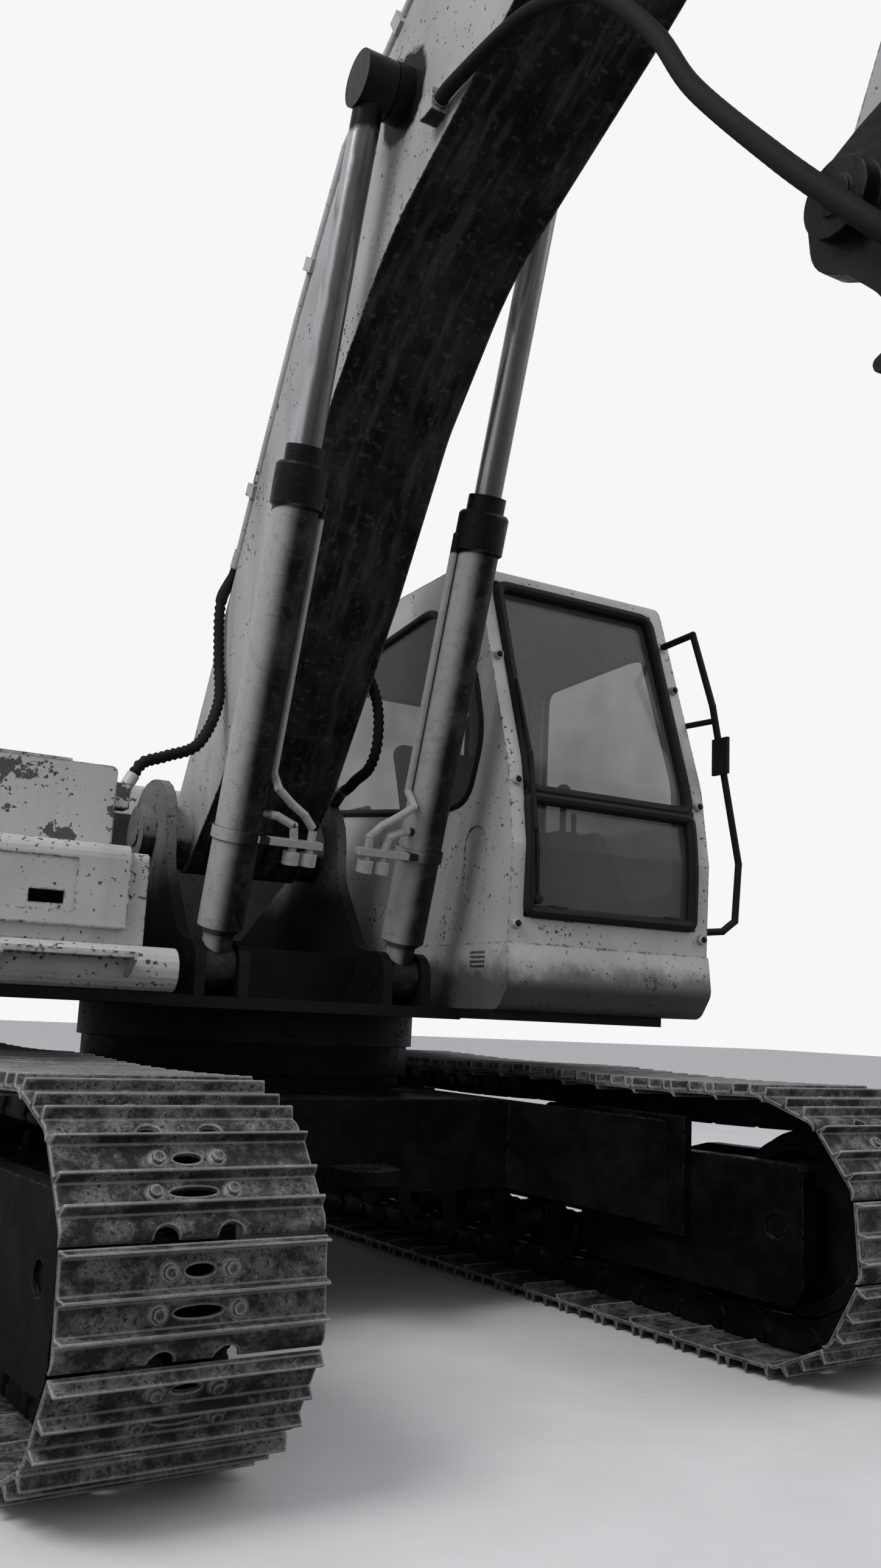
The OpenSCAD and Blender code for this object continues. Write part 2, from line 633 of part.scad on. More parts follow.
module engine_hood() {
    wide = upper_half - 10 + hood_split - side_gap;
    x = upper_half - 10 - wide / 2;
    color("#8f8f8c") difference() {
        union() {
            difference() {
                slab(x, wide) hood_shape(seat);
                slab(x, wide - 60) hood_hollow();
                hood_hinge_places() cylinder(r = hood_hinge_radius + seat,
                    h = 2 * (hood_hinge_half + hood_hinge_ear + 2 * seat),
                    center = true, $fn = 32);
            }
            hood_hinge_places() cylinder(r = hood_hinge_radius, h = 2 * hood_hinge_half, center = true,
                $fn = 32);
            // Leaves that carry the knuckles under the rear edge
            hood_hinge_places() translate([-26, -28, -hood_hinge_half]) cube([26, 28, 2 * hood_hinge_half]);
        }
        hood_hinge_places() cylinder(r = hood_hinge_pin + fit, h = 4 * hood_hinge_half, center = true,
            $fn = 32);
    }
}
hood_hinge_radius = 10;
hood_hinge_pin = 5;
hood_hinge_half = 40;
hood_hinge_ear = 35;
// Hinges along the hood's lower rear edge; what is drawn along +Z lies across the machine, +X is down
module hood_hinge_places() {
    for (x = [-300, 900]) translate([x, -frame_rear - seat, hood_low + seat]) rotate([0, 90, 0]) children();
}
module hood_hinge_ears() {
    hood_hinge_places() {
        for (side = [-1, 1]) translate([0, 0, side * (hood_hinge_half + seat + hood_hinge_ear / 2)])
            cylinder(r = hood_hinge_radius, h = hood_hinge_ear, center = true, $fn = 32);
        cylinder(r = hood_hinge_pin, h = 2 * (hood_hinge_half + hood_hinge_ear), center = true, $fn = 32);
    }
}
stack_top = hood_top + 140;
module exhaust_stack() {
    color("#4a4846") difference() {
        union() {
            translate([-stack_right, 1620, frame_bottom + frame_plate + seat + engine_box.z + seat])
                cylinder(r = 62, h = stack_top - 50 - 1861, $fn = 48);
            translate([-stack_right, 1620, stack_top - 90]) cylinder(r = 55, h = 90, $fn = 48);
        }
        translate([-stack_right, 1620, hood_top]) cylinder(r = 48, h = 400, $fn = 48);
    }
}

// Tanks along the right side: the low front end stands over the tool box as the second step
tank_front = 885;
tank_top = 1838;
tank_inner = 870;
box_top = 1536;
module fuel_tank() {
    low = frame_bottom + rail_height + seat;
    color("#8f8f8c") slab(-(upper_half - 10 + 640) / 2, upper_half - 10 - 640)
        polygon(soften([[-hood_front + side_gap, low, 20], [-hood_front + side_gap, 1985, 40],
            [-60, 1985, 60], [-60, low, 0]]));
    color("#8f8f8c") slab(-(upper_half - 10 + tank_inner) / 2, upper_half - 10 - tank_inner)
        polygon([[-80, low], [-80, 1650], [box_back - 35, 1650], [box_back - 35, low]]);
    // Front end with round upper edges, and the tread plate on top
    color("#8f8f8c") translate([0, 80, 0]) rotate([90, 0, 0]) linear_extrude(tank_front + 80)
        polygon(soften([[10 - upper_half, box_top + 24, 0], [10 - upper_half, tank_top, 22],
            [-tank_inner, tank_top, 22], [-tank_inner, box_top + 24, 0]]));
    color("#8f8f8c") translate([-upper_half + 30, -tank_front + 15, tank_top - 5]) cube([365, 400, 16]);
    color("#8f8f8c") translate([-1020, -330, tank_top - 10]) cylinder(r = 70, h = 70, $fn = 48);
    // Block that takes the right foot hose
    color("#8f8f8c") {
        translate([-tank_inner - 2, -660, 1735]) cube([112, 80, 90]);
        hose_fitting(right_foot_route, 80, 24);
    }
}
// Tool box under the tank's front end, open at the front and at the top ahead of the tank
box_outer = upper_half - 20;
box_inner = 795;
cover_inner = 860;
cover_sheet = 20;
cover_front = 1105;
cover_hinge = [900, 1546];
cover_hinge_radius = 10;
cover_hinge_pin = 5;
cover_knuckle = 90;
module tool_box() {
    low = step_top + seat;
    top = box_top - seat;
    hole_outer = box_outer - 30;
    hole_inner = cover_inner + 30;
    color("#8f8f8c") {
        difference() {
            union() {
                slab(-(box_outer + box_inner) / 2, box_outer - box_inner)
                    polygon(soften([[box_back, low, 0], [box_back, top, 0],
                        [cover_front - cover_sheet - 5, top, 25],
                        [cover_front - cover_sheet - 5, low, 0]]));
                cover_hinges() for (end = [-1, 1]) translate([0, 0, end * (cover_knuckle / 2 + seat + 15)]) {
                    cylinder(r = cover_hinge_radius, h = 30, center = true, $fn = 32);
                    translate([2, -8, -15]) cube([16, 16, 30]);
                }
            }
            slab(-(hole_outer + hole_inner) / 2, hole_outer - hole_inner)
                polygon([[box_back + 30, low + 90], [box_back + 30, top - 30], [880, top - 30],
                    [920, top + 20],
                    [cover_front + 50, top + 20], [cover_front + 50, low + 90]]);
        }
        cover_hinges() cylinder(r = cover_hinge_pin, h = cover_knuckle + 60, center = true, $fn = 32);
    }
}
// Hinges along the rear edge of the cover; what is drawn along +Z lies across the machine, +X is down
module cover_hinges() {
    for (x = [box_outer - 110, cover_inner + 110]) translate([-x, -cover_hinge.x, cover_hinge.y])
        rotate([0, 90, 0]) children();
}
// Cover of the tool box: its top and its front in one bent sheet, with a pressed panel and the latch's hole
module tool_box_lid() {
    low = step_top + 48;
    color("#8f8f8c") difference() {
        union() {
            slab(-(box_outer + 5 + cover_inner) / 2, box_outer + 5 - cover_inner)
                polygon(soften([[cover_hinge.x + 4, box_top, 0],
                    [cover_hinge.x + 4, box_top + cover_sheet, 0],
                    [cover_front, box_top + cover_sheet, 48], [cover_front, low, 6],
                    [cover_front - cover_sheet, low, 0],
                    [cover_front - cover_sheet, box_top, 26]]));
            cover_hinges() cylinder(r = cover_hinge_radius - seat, h = cover_knuckle, center = true,
                $fn = 32);
        }
        cover_hinges() cylinder(r = cover_hinge_pin + fit, h = 2 * cover_knuckle, center = true, $fn = 32);
        // Room for the fixed halves of the hinges
        cover_hinges() for (end = [-1, 1]) translate([0, 0, end * (cover_knuckle / 2 + 20 + seat)])
            cylinder(r = cover_hinge_radius + 3, h = 40, center = true, $fn = 32);
        translate([-box_outer + 35, -cover_front - 1, low + 45]) cube([335, 6, 165]);
        translate([-latch_middle - 54, -cover_front - 1, low + 65]) cube([108, cover_sheet + 2, 40]);
    }
}
latch_middle = 1112;

// Cab shell from its side outline, hollow, with its windows cut
cab_outer = cab_inner + cab_width;
// How far ahead the windscreen's upper part stands at a height
function cab_front_at(z) = 870 + (cab_top - 30 - z) * (1165 - 870) / (cab_top - 30 - 2010);
cab_mid = (cab_inner + cab_outer) / 2;
cab_side = [[cab_rear, cab_floor, 40], [cab_rear, cab_top - 60, 120], [cab_rear + 300, cab_top - 5, 0],
    [700, cab_top, 300], [870, cab_top - 30, 90], [1165, 2010, 500], [cab_front + 10, 1700, 0],
    [cab_front, cab_floor, 0]];
// Guard bosses as [ahead, up]
guard_bosses = [[cab_front + 2, 1408], [1177, 1938], [1012, 2451]];
module cab_outline(shrink) {
    polygon(soften([for (row = cab_side)
        [row[0] + (row[0] < 0 ? shrink : -shrink),
            row[1] + (row[1] < 1500 ? shrink : row[1] > 2700 ? -shrink : 0), max(0, row[2] - shrink)]]));
}
cab_hinges = [1560, 2040, 2520];
cab_hinge_back = 60 - side_gap / 2;
// Side windows and the door's opening as [ahead, up, radius] rows
right_window = [[-430, 1990, 60], [-430, 2650, 60], [540, 2748, 110], [905, 2410, 150], [980, 2140, 130],
    [890, 1890, 110], [640, 1872, 0]];
door_opening = [[-60, cab_floor + 70, 60], [-60, 2740, 70], [690, 2760, 60], [860, 2740, 80],
    [1120, 2040, 300],
    [1150, 1700, 0], [1150, cab_floor + 70, 60]];
module cab_frame() {
    color("#9a9a98") difference() {
        slab(cab_mid, cab_width) cab_outline(0);
        slab(cab_mid, cab_width - 2 * cab_wall) cab_outline(cab_wall);
        slab(cab_inner, 4 * cab_wall) polygon(soften(right_window));
        slab(cab_outer, 4 * cab_wall) polygon(soften(door_opening));
        // Rear quarter window on the door's side
        slab(cab_outer, 4 * cab_wall)
            polygon(soften([[-440, 1960, 60], [-440, 2680, 60], [-150, 2700, 60], [-150, 1960, 60]]));
        // Windscreen: the whole front between the pillars
        translate([cab_inner + 62, -1400, cab_floor + 95]) cube([cab_width - 124, 560, 1360]);
        // Rear window
        translate([cab_inner + 90, -cab_rear - 100, 2000]) cube([cab_width - 180, 200, 640]);
        // Pressed oval ahead of the right window
        slab(cab_inner, 12) polygon(soften([[874, 1500, 78], [874, 1786, 78], [1034, 1786, 78],
            [1034, 1500, 78]]));
    }
    // Bosses for a front guard on both pillars
    color("#9a9a98") for (x = [cab_inner + 31, cab_outer - 31], row = guard_bosses)
        translate([x, -row[0] + 12, row[1]]) rotate([90, 0, 0]) cylinder(r = 17, h = 30, $fn = 32);
    color("#9a9a98") for (z = cab_hinges) translate([cab_outer + hinge_radius, cab_hinge_back, z])
        hinge_ears(1, -1);
}
// Lower front panel below the cab, with a round front edge
module cab_skirt() {
    color("#9a9a98") difference() {
        slab(cab_mid, cab_width + 10)
            polygon(soften([[cab_rear, frame_bottom + frame_plate + seat, 0],
                [cab_rear, cab_floor - seat, 0],
                [cab_front + 5, cab_floor - seat, 0], [cab_front + 25, frame_bottom + 130, 60],
                [cab_front - 40, frame_bottom + frame_plate + seat, 60]]));
        // Louvred vent on the inner side
        for (i = [0:3]) translate([cab_inner - 20, -1060, 1250 + i * 17]) cube([30, 100, 9]);
    }
}
// Windows: two-piece windscreen, right side, rear and left quarter
module cab_glass() {
    color("#9fb4b8") {
        intersection() {
            difference() {
                slab(cab_mid, cab_width - 124 - 2 * seat) cab_outline(14);
                slab(cab_mid, cab_width) cab_outline(14 + glass_thickness);
                translate([cab_inner, -1400, 1880]) cube([cab_width, 600, 24]);
            }
            translate([cab_inner, -1400, cab_floor + 95 + seat]) cube([cab_width, 560, 1360 - 2 * seat]);
        }
        slab(cab_inner + 12, glass_thickness) offset_window(right_window);
        slab(cab_outer - 12, glass_thickness)
            offset_window([[-440, 1960, 60], [-440, 2680, 60], [-150, 2700, 60], [-150, 1960, 60]]);
        translate([cab_inner + 90 + seat, -cab_rear - 15, 2000 + seat])
            cube([cab_width - 180 - 2 * seat, glass_thickness, 640 - 2 * seat]);
    }
}
// A pane that fits its opening
module offset_window(rows) {
    middle = [for (k = [0:1]) [for (row = rows) row[k]] * [for (row = rows) 1] / len(rows)];
    polygon(soften([for (row = rows) [middle.x + (row[0] - middle.x) * 0.9985,
        middle.y + (row[1] - middle.y) * 0.9985, row[2]]]));
}
door_thickness = 38;
module door_shape(shrink) {
    polygon(soften([[-60 + shrink, cab_floor + 70 + shrink, 60], [-60 + shrink, 2740 - shrink, 70],
        [690, 2760 - shrink, 60],
        [860 - shrink * 0.8, 2740 - shrink, 80], [1120 - shrink, 2040, 300], [1150 - shrink, 1700, 0],
        [1150 - shrink, cab_floor + 70 + shrink, 60]]));
}
door_window = [[40, 1900, 50], [40, 2640, 60], [700, 2660, 50], [800, 2640, 80], [1020, 2040, 250],
    [1040, 1600, 60], [700, 1560, 60], [500, 1900, 60]];
module cab_door() {
    color("#9a9a98") {
        difference() {
            slab(cab_outer - door_thickness / 2, door_thickness) door_shape(side_gap);
            slab(cab_outer, 4 * cab_wall) polygon(soften(door_window));
        }
        for (z = cab_hinges) translate([cab_outer + hinge_radius, cab_hinge_back, z]) hinge_knuckle(1, -1);
        // Door handle
        translate([cab_outer - 2, -1105, 1700]) cube([30, 30, 200]);
    }
}
module cab_door_glass() {
    color("#9fb4b8") slab(cab_outer - 14, glass_thickness) offset_window(door_window);
}
module operator_seat() {
    color("#2b2b2b") {
        // Cushion, with its underside and top rising by 30 towards the front
        slab(cab_mid, 500) polygon(soften([[-120, 1700, 40], [-120, 1800, 40], [420, 1830, 45],
            [420, 1730, 40]]));
        slab(cab_mid, 470) polygon(soften([[-250, 2350, 60], [-120, 2330, 50],
            [18, 1800 + 138 / 18 + seat, 0],
            [-72, 1800 + 48 / 18 + seat, 0]]));
        slab(cab_mid, 280) polygon([[-72, cab_floor + cab_wall + seat], [-72, 1700 + 48 / 18 - seat],
            [342, 1700 + 462 / 18 - seat], [342, cab_floor + cab_wall + seat]]);
    }
}
module control_console() {
    color("#2b2b2b") {
        both_ends = [cab_inner + cab_wall + 20, cab_outer - cab_wall - 20 - 110];
        for (x = both_ends) {
            translate([x, -420, cab_floor + cab_wall + seat]) cube([110, 600, 520]);
            translate([x + 55, -370, cab_floor + cab_wall + 520]) cylinder(r = 14, h = 190, $fn = 24);
            translate([x + 55, -370, cab_floor + cab_wall + 710]) sphere(r = 34, $fn = 24);
        }
        // Pedals and travel levers on the floor
        for (x = [cab_mid - 120, cab_mid + 40]) translate([x, -900, cab_floor + cab_wall + seat]) {
            cube([80, 180, 40]);
            translate([30, 60, 40]) cylinder(r = 11, h = 480, $fn = 24);
        }
    }
}
// Bent tube through a row of places
module tube_run(points, radius) {
    for (i = [0:len(points) - 2]) {
        straight(points[i], points[i + 1], radius);
        translate(points[i]) sphere(r = radius * 1.05, $fn = 24);
    }
    translate(points[len(points) - 1]) sphere(r = radius * 1.05, $fn = 24);
}
// Round bar from one place to another
module straight(a, b, radius) {
    d = b - a;
    translate(a) rotate([0, acos(d.z / norm(d)), atan2(d.y, d.x)])
        cylinder(r = radius, h = norm(d), $fn = 24);
}
// Loop handrail ahead of the cab's left front pillar, with the stay and the mirror's plate
module cab_handrail() {
    x = cab_outer;
    top = 2655;
    color("#222222") {
        tube_run([[x - 32, -cab_front_at(top) - 16.2, top], [x - 15, -1120, 2672], [x + 25, -1200, 2358],
            [x + 168, -1200, 1726],
            [x + 150, -1200, 1495], [x + 90, -1195, 1450], [x + 15, -1180, 1442]], 14);
        tube_run([[x + 12.9, -1043, 2300], [x + 38, -1200, 2300]], 12);
        translate([x + 58, -1250, 2080]) cube([14, 90, 150]);
        straight([x + 60, -1200, 2155], [x + 75, -1200, 2155], 20);
    }
}

// Boom: a box girder drawn in its own frame, foot pin at the origin, tip pin along +x
boom_profile = [[-150, 0, 150], [-60, -150, 60], [420, -110, 300], [1250, 130, 900],
    [1850, 345, 500], [2420, 430, 900], [3250, 235, 900], [boom_length - 250, -175, 300],
    [boom_length + 180, -170, 165], [boom_length + 180, 170, 165],
    [boom_length - 150, 175, 300], [3300, 975, 1200],
    [2450, 1120, 900], [1850, 935, 900], [200, 265, 300], [-120, 150, 140]];
module boom() {
    color("#a8a8a6") difference() {
        union() {
            slab_own(boom_foot, boom_angle, boom_offset, boom_width) polygon(soften(boom_profile));
            bar(boom_foot, boom_offset, 2 * foot_half, 130);
            // Bosses of the boom cylinders' pin
            bar(lift_eye, boom_offset, 2 * (lift_spread - lift_eye_half - side_gap), 95);
            // Lugs of the arm cylinder's foot
            for (side = [-1, 1]) slab_own(boom_foot, boom_angle,
                boom_offset + side * (crowd_eye_half + side_gap + 20), 40)
                polygon(soften([[2850, 980, 0], [crowd_foot_own.x - 95, crowd_foot_own.y + 92, 85],
                    [crowd_foot_own.x + 92, crowd_foot_own.y + 92, 85], [crowd_foot_own.x + 130, 900, 0]]));
        }
        bar(boom_foot, boom_offset, 700, boom_pin);
        bar(crowd_foot, boom_offset, 700, 45);
        // Fork at the tip that takes the arm
        slab_own(boom_foot, boom_angle, boom_offset, arm_width + 2 * side_gap)
            polygon([[boom_length - fork_depth - 200, -500], [boom_length - fork_depth + 70, 500],
                [boom_length + 400, 500], [boom_length + 400, -500]]);
        bar(boom_tip, boom_offset, 900, tip_pin);
    }
    color("#a8a8a6") {
        bar(boom_tip, boom_offset, boom_width + 30, tip_pin - fit);
        bar(crowd_foot, boom_offset, 2 * (crowd_eye_half + side_gap + 40) + 10, 45 - fit);
        // Outlet for the breaker's hose on the right side
        translate([boom_offset - boom_width / 2 - 58, -1995, 3793]) cube([60, 75, 75]);
        hose_fitting(turned_round(breaker_route), 40, 27);
    }
}
// Slab drawn in a moving piece's own frame
module slab_own(at, rise, x, width) {
    slab(x, width) translate(at) rotate(rise) children();
}
crowd_eye_half = 55;
fork_depth = 520;

// Corners of the boom's top plate in its own frame
boom_back = [[200, 265], [1850, 935], [2450, 1120], [3300, 975], [boom_length - 150, 175]];
function back_at(x) = lookup(x, boom_back);
function from_boom(p, x) = let(q = boom_foot + turned(p, boom_angle)) [x, -q.x, q.y];
pipe_radius = 17;
pipe_rise = 58;
pipe_places = [-225, -165, 225];
pipe_starts = [1000, 1000, 1000];
pipe_end = boom_length - 750;
fitting_radius = 27;
fitting_length = 60;
// Clamps on the straight stretches of the top plate
clamp_places = [1250, 2060, 2900, 3800, boom_length - 1150];
// Pipes along the boom's back with their clamps and end fittings
module boom_pipes() {
    color("#7d7d7b") for (k = [0:len(pipe_places) - 1]) {
        x = boom_offset + pipe_places[k];
        way = [for (along = [pipe_starts[k], 1850, 2450, 3300, pipe_end])
            from_boom([along, back_at(along) + pipe_rise], x)];
        tube_run([for (i = [0:len(way) - 1]) if (i > 0) way[i]], pipe_radius);
        straight(way[0], way[1], pipe_radius);
        if (k == 1) straight(way[0] + unit(way[0] - way[1]) * fitting_length, way[0], fitting_radius);
        else hose_fitting(turned_round(k == 0 ? right_foot_route : left_foot_route),
            fitting_length + 15, fitting_radius);
        for (along = clamp_places) slab(x, 56)
            translate(boom_foot + turned([along, back_at(along)], boom_angle))
                rotate(boom_angle + slope([20, back_at(along + 10) - back_at(along - 10)]))
                    translate([-25, seat]) square([50, pipe_rise + 22]);
    }
}
// Hose routes, from the fitting on the boom's pipe to the fixed fitting
right_foot_route = [[-325, -352, 2806], [-328, -336, 2778], [-346, -322, 2735], [-366, -322, 2680],
    [-371, -326, 2590], [-369, -352, 2420], [-380, -420, 2227], [-473, -500, 2038],
    [-611, -560, 1962], [-704, -598, 1920], [-740, -606, 1868]];
left_foot_route = [[125, -352, 2806], [128, -336, 2778], [147, -324, 2735], [168, -332, 2680],
    [178, -380, 2590], [190, -540, 2430], [200, -640, 2270], [202, -655, 2120],
    [205, -590, 2025], [225, -430, 1998], [258, -300, 1990], [264, -250, 1985]];
breaker_route = [[-370, -1999, 3830], [-370, -2100, 3832], [-366, -2450, 3790], [-355, -2700, 3680],
    [-350, -2845, 3555], [-352, -3025, 3324], [-368, -3177, 3079], [-388, -3449, 2736],
    [-388, -3620, 2535], [-368, -3712, 2430], [-346, -3741, 2388], [-337, -3757, 2345]];
foot_hose_radius = 21;
breaker_hose_radius = 23;
hose_steps = 2;
hose_sides = 10;
function smooth(a, b, c, d, t) = 0.5 * ((2 * b) + (c - a) * t + (2 * a - 5 * b + 4 * c - d) * t * t
    + (3 * b - a - 3 * c + d) * t * t * t);
function route_line(route) = [for (i = [0:len(route) - 2], k = [0:hose_steps - 1])
    smooth(route[max(0, i - 1)], route[i], route[i + 1], route[min(len(route) - 1, i + 2)], k / hose_steps),
    route[len(route) - 1]];
function turned_round(route) = [for (i = [len(route) - 1:-1:0]) route[i]];
// Fitting that meets the last end of a hose face to face and goes on along it
module hose_fitting(route, length, radius) {
    line = route_line(route);
    tip = line[len(line) - 1];
    way = heading(line, len(line) - 1);
    straight(tip + way * seat, tip + way * length, radius);
}
function heading(line, i) = unit(line[min(len(line) - 1, i + 1)] - line[max(0, i - 1)]);
// Side directions carried along the line without twist
function carried(line, i, sides) = i == len(line) ? sides :
    let(d = heading(line, i), last = sides[len(sides) - 1])
    carried(line, i + 1, concat(sides, [unit(last - (last * d) * d)]));
module hose(route, radius) {
    line = route_line(route);
    side = carried(line, 1, [unit(cross(heading(line, 0), [1, 0.2, 0.1]))]);
    rings = len(line);
    polyhedron(points = [for (i = [0:rings - 1], k = [0:hose_sides - 1])
            let(a = 360 * k / hose_sides, n = side[i], m = cross(heading(line, i), n))
            line[i] + radius * (cos(a) * n + sin(a) * m)],
        faces = concat([[for (k = [0:hose_sides - 1]) k]],
            [[for (k = [hose_sides - 1:-1:0]) (rings - 1) * hose_sides + k]],
            [for (i = [0:rings - 2], k = [0:hose_sides - 1]) let(n = (k + 1) % hose_sides)
                [i * hose_sides + k, (i + 1) * hose_sides + k, (i + 1) * hose_sides + n,
                    i * hose_sides + n]]));
}
module right_foot_hose() { color("#1c1c1c") hose(right_foot_route, foot_hose_radius); }
module left_foot_hose() { color("#1c1c1c") hose(left_foot_route, foot_hose_radius); }
module breaker_hose() { color("#1c1c1c") hose(breaker_route, breaker_hose_radius); }

// Length of the foot end of a barrel, as narrow as its eye
neck_length = 122;
// Hydraulic cylinder's barrel along +x: eye at the origin, gland at its end
module barrel(body, radius, rod, eye_half, eye_radius, pin) {
    difference() {
        union() {
            rotate([90, 0, 0]) cylinder(r = eye_radius, h = 2 * eye_half, center = true, $fn = 48);
            turned_bar() polygon([[0, eye_radius * 0.5], [eye_half - 2, eye_radius * 0.5],
                [eye_half - 2, neck_length],
                [radius, neck_length + 25], [radius, body - 210], [radius * 1.14, body - 200],
                [radius * 1.14, body - 70], [radius * 1.05, body - 60],
                [radius * 0.86, body - 55], [radius * 0.86, body], [0, body]]);
        }
        rotate([90, 0, 0]) cylinder(r = pin, h = 4 * eye_half, center = true, $fn = 48);
        translate([neck_length + 40, 0, 0]) rotate([0, 90, 0]) cylinder(r = rod + fit, h = body, $fn = 48);
    }
}
// Rod along +x from inside the barrel to the eye at its end
module rod(length, start, radius, eye_half, eye_radius) {
    turned_bar() polygon([[0, start], [radius, start], [radius, length - eye_radius * 0.75],
        [0, length - eye_radius * 0.4]]);
    translate([length, 0, 0]) rotate([90, 0, 0])
        cylinder(r = eye_radius, h = 2 * eye_half, center = true, $fn = 48);
}
lift_length = norm(lift_eye - lift_foot);
lift_rise = slope(lift_eye - lift_foot);
// Pipes of a boom cylinder in its own frame, on the side towards the boom: columns are along, across, behind
long_pipe = [[1640, 50, 0], [1640, 92, 0], [700, 92, 0], [655, 93, -72], [610, 150, -70], [575, 205, -72],
    [530, 246, -72], [400, 246, -72]];
short_pipe = [[560, 50, -30], [560, 110, -60], [535, 172, -72], [480, 182, -72], [400, 182, -72]];
lift_pipe = 15;
band_along = 455;
module boom_barrels() {
    color("#9a9a98") for (side = [-1, 1]) reach(lift_foot, lift_rise, boom_offset + side * lift_spread) {
        difference() {
            union() {
                barrel(lift_body, lift_barrel, lift_rod, lift_eye_half, 82, 45);
                mirror([0, side > 0 ? 1 : 0, 0]) {
                    tube_run([for (i = [0:len(long_pipe) - 2]) long_pipe[i]], lift_pipe);
                    tube_run([for (i = [0:len(short_pipe) - 2]) short_pipe[i]], lift_pipe);
                    for (pipe = [long_pipe, short_pipe]) {
                        last = len(pipe) - 1;
                        straight(pipe[last - 1], pipe[last], lift_pipe);
                        straight(pipe[last], pipe[last] + [45, 0, 0], 30);
                    }
                    // Bracket plate for the couplings, on the band round the barrel
                    translate([band_along + 8, 50, -94]) cube([24, 235, 44]);
                    translate([band_along, 0, 0]) rotate([0, 90, 0])
                        cylinder(r = lift_barrel + 8, h = 42, $fn = 64);
                }
            }
            translate([neck_length + 40, 0, 0]) rotate([0, 90, 0])
                cylinder(r = lift_rod + fit, h = lift_body, $fn = 48);
        }
    }
}
module boom_rods() {
    color("#c9c9c7") for (side = [-1, 1]) reach(lift_foot, lift_rise, boom_offset + side * lift_spread)
        rod(lift_length, 1225, lift_rod, lift_eye_half, 92);
}
module arm_barrel() {
    color("#9a9a98") reach(crowd_foot, slope(crowd_eye - crowd_foot), boom_offset)
        barrel(crowd_body, crowd_barrel, crowd_rod, crowd_eye_half, 82, 45);
}
module arm_rod() {
    color("#c9c9c7") reach(crowd_foot, slope(crowd_eye - crowd_foot), boom_offset)
        rod(norm(crowd_eye - crowd_foot), 1500, crowd_rod, crowd_eye_half, 88);
}
curl_eye_half = 48;
module tool_barrel() {
    color("#9a9a98") reach(curl_foot, slope(knee_pin - curl_foot), boom_offset)
        barrel(curl_body, curl_barrel, curl_rod, curl_eye_half, 74, 40);
}
module tool_rod() {
    color("#c9c9c7") reach(curl_foot, slope(knee_pin - curl_foot), boom_offset)
        rod(norm(knee_pin - curl_foot), 262, curl_rod, curl_eye_half, 76);
}

// Arm in its own frame: boom-tip pin at the origin, tool pin along +x, cylinders on the +y side
arm_profile = [[-170, -150, 120], [120, -210, 200], [500, -190, 400], [arm_length - 350, -95, 200],
    [arm_length + 100, -125, 105], [arm_length + 125, 100, 105], [arm_length - 450, 130, 200],
    [650, 380, 300], [150, 420, 200], [-260, 330, 150], [-420, 150, 120]];
module arm() {
    color("#a8a8a6") difference() {
        union() {
            slab_own(boom_tip, arm_angle, boom_offset, arm_width) polygon(soften(arm_profile));
            bar(boom_tip, boom_offset, arm_width, 145);
            bar(arm_tip, boom_offset, arm_width, 105);
            // Horns that take the arm cylinder's eye
            for (side = [-1, 1]) slab_own(boom_tip, arm_angle,
                boom_offset + side * (crowd_eye_half + side_gap + 20), 40)
                polygon(soften([[-250, -60, 60], [-120, 420, 60], [-560, 420, 120],
                    [crowd_eye_own.x - 105, crowd_eye_own.y + 100, 90],
                    [crowd_eye_own.x - 105, crowd_eye_own.y - 95, 90]]));
            // Lugs of the tool cylinder's foot
            for (side = [-1, 1]) slab_own(boom_tip, arm_angle,
                boom_offset + side * (curl_eye_half + side_gap + 18), 36)
                polygon(soften([[60, 330, 0], [curl_foot_own.x - 85, curl_foot_own.y + 84, 75],
                    [curl_foot_own.x + 84, curl_foot_own.y + 84, 75], [curl_foot_own.x + 120, 330, 0]]));
            bar(rocker_pin, boom_offset, arm_width, 75);
        }
        bar(boom_tip, boom_offset, 900, tip_pin);
        bar(arm_tip, boom_offset, 900, tool_pin);
        bar(curl_foot, boom_offset, 900, 40);
        bar(rocker_pin, boom_offset, 900, 36);
    }
    color("#a8a8a6") {
        bar(curl_foot, boom_offset, 2 * (curl_eye_half + side_gap + 36) + 10, 40 - fit);
        bar(rocker_pin, boom_offset, arm_width + 2 * side_gap + 2 * rocker_plate + 10, 36 - fit);
    }
}
rocker_plate = 36;
module tool_rocker() {
    color("#55524f") for (side = [-1, 1]) difference() {
        slab(boom_offset + side * (arm_width / 2 + side_gap + rocker_plate / 2), rocker_plate)
            bar_shape(rocker_pin, knee_pin, 72, 66);
        bar(rocker_pin, boom_offset, 900, 36);
    }
}
// Flat bar between two pins with round ends, as exact pieces
module bar_shape(a, b, ra, rb) {
    translate(a) circle(r = ra, $fn = 48);
    translate(b) circle(r = rb, $fn = 48);
    d = b - a;
    translate(a) rotate(slope(d))
        polygon([[0, -0.9 * ra], [norm(d), -0.9 * rb], [norm(d), 0.9 * rb], [0, 0.9 * ra]]);
}
link_half = (arm_width / 2) - 12;
module tool_link() {
    color("#55524f") difference() {
        slab(boom_offset, 2 * link_half) bar_shape(link_pin, knee_pin, 66, 62);
        // Fork for the tool cylinder's eye
        slab(boom_offset, 2 * (curl_eye_half + side_gap)) translate(knee_pin) circle(r = 330, $fn = 48);
        bar(link_pin, boom_offset, 900, tool_pin);
    }
}

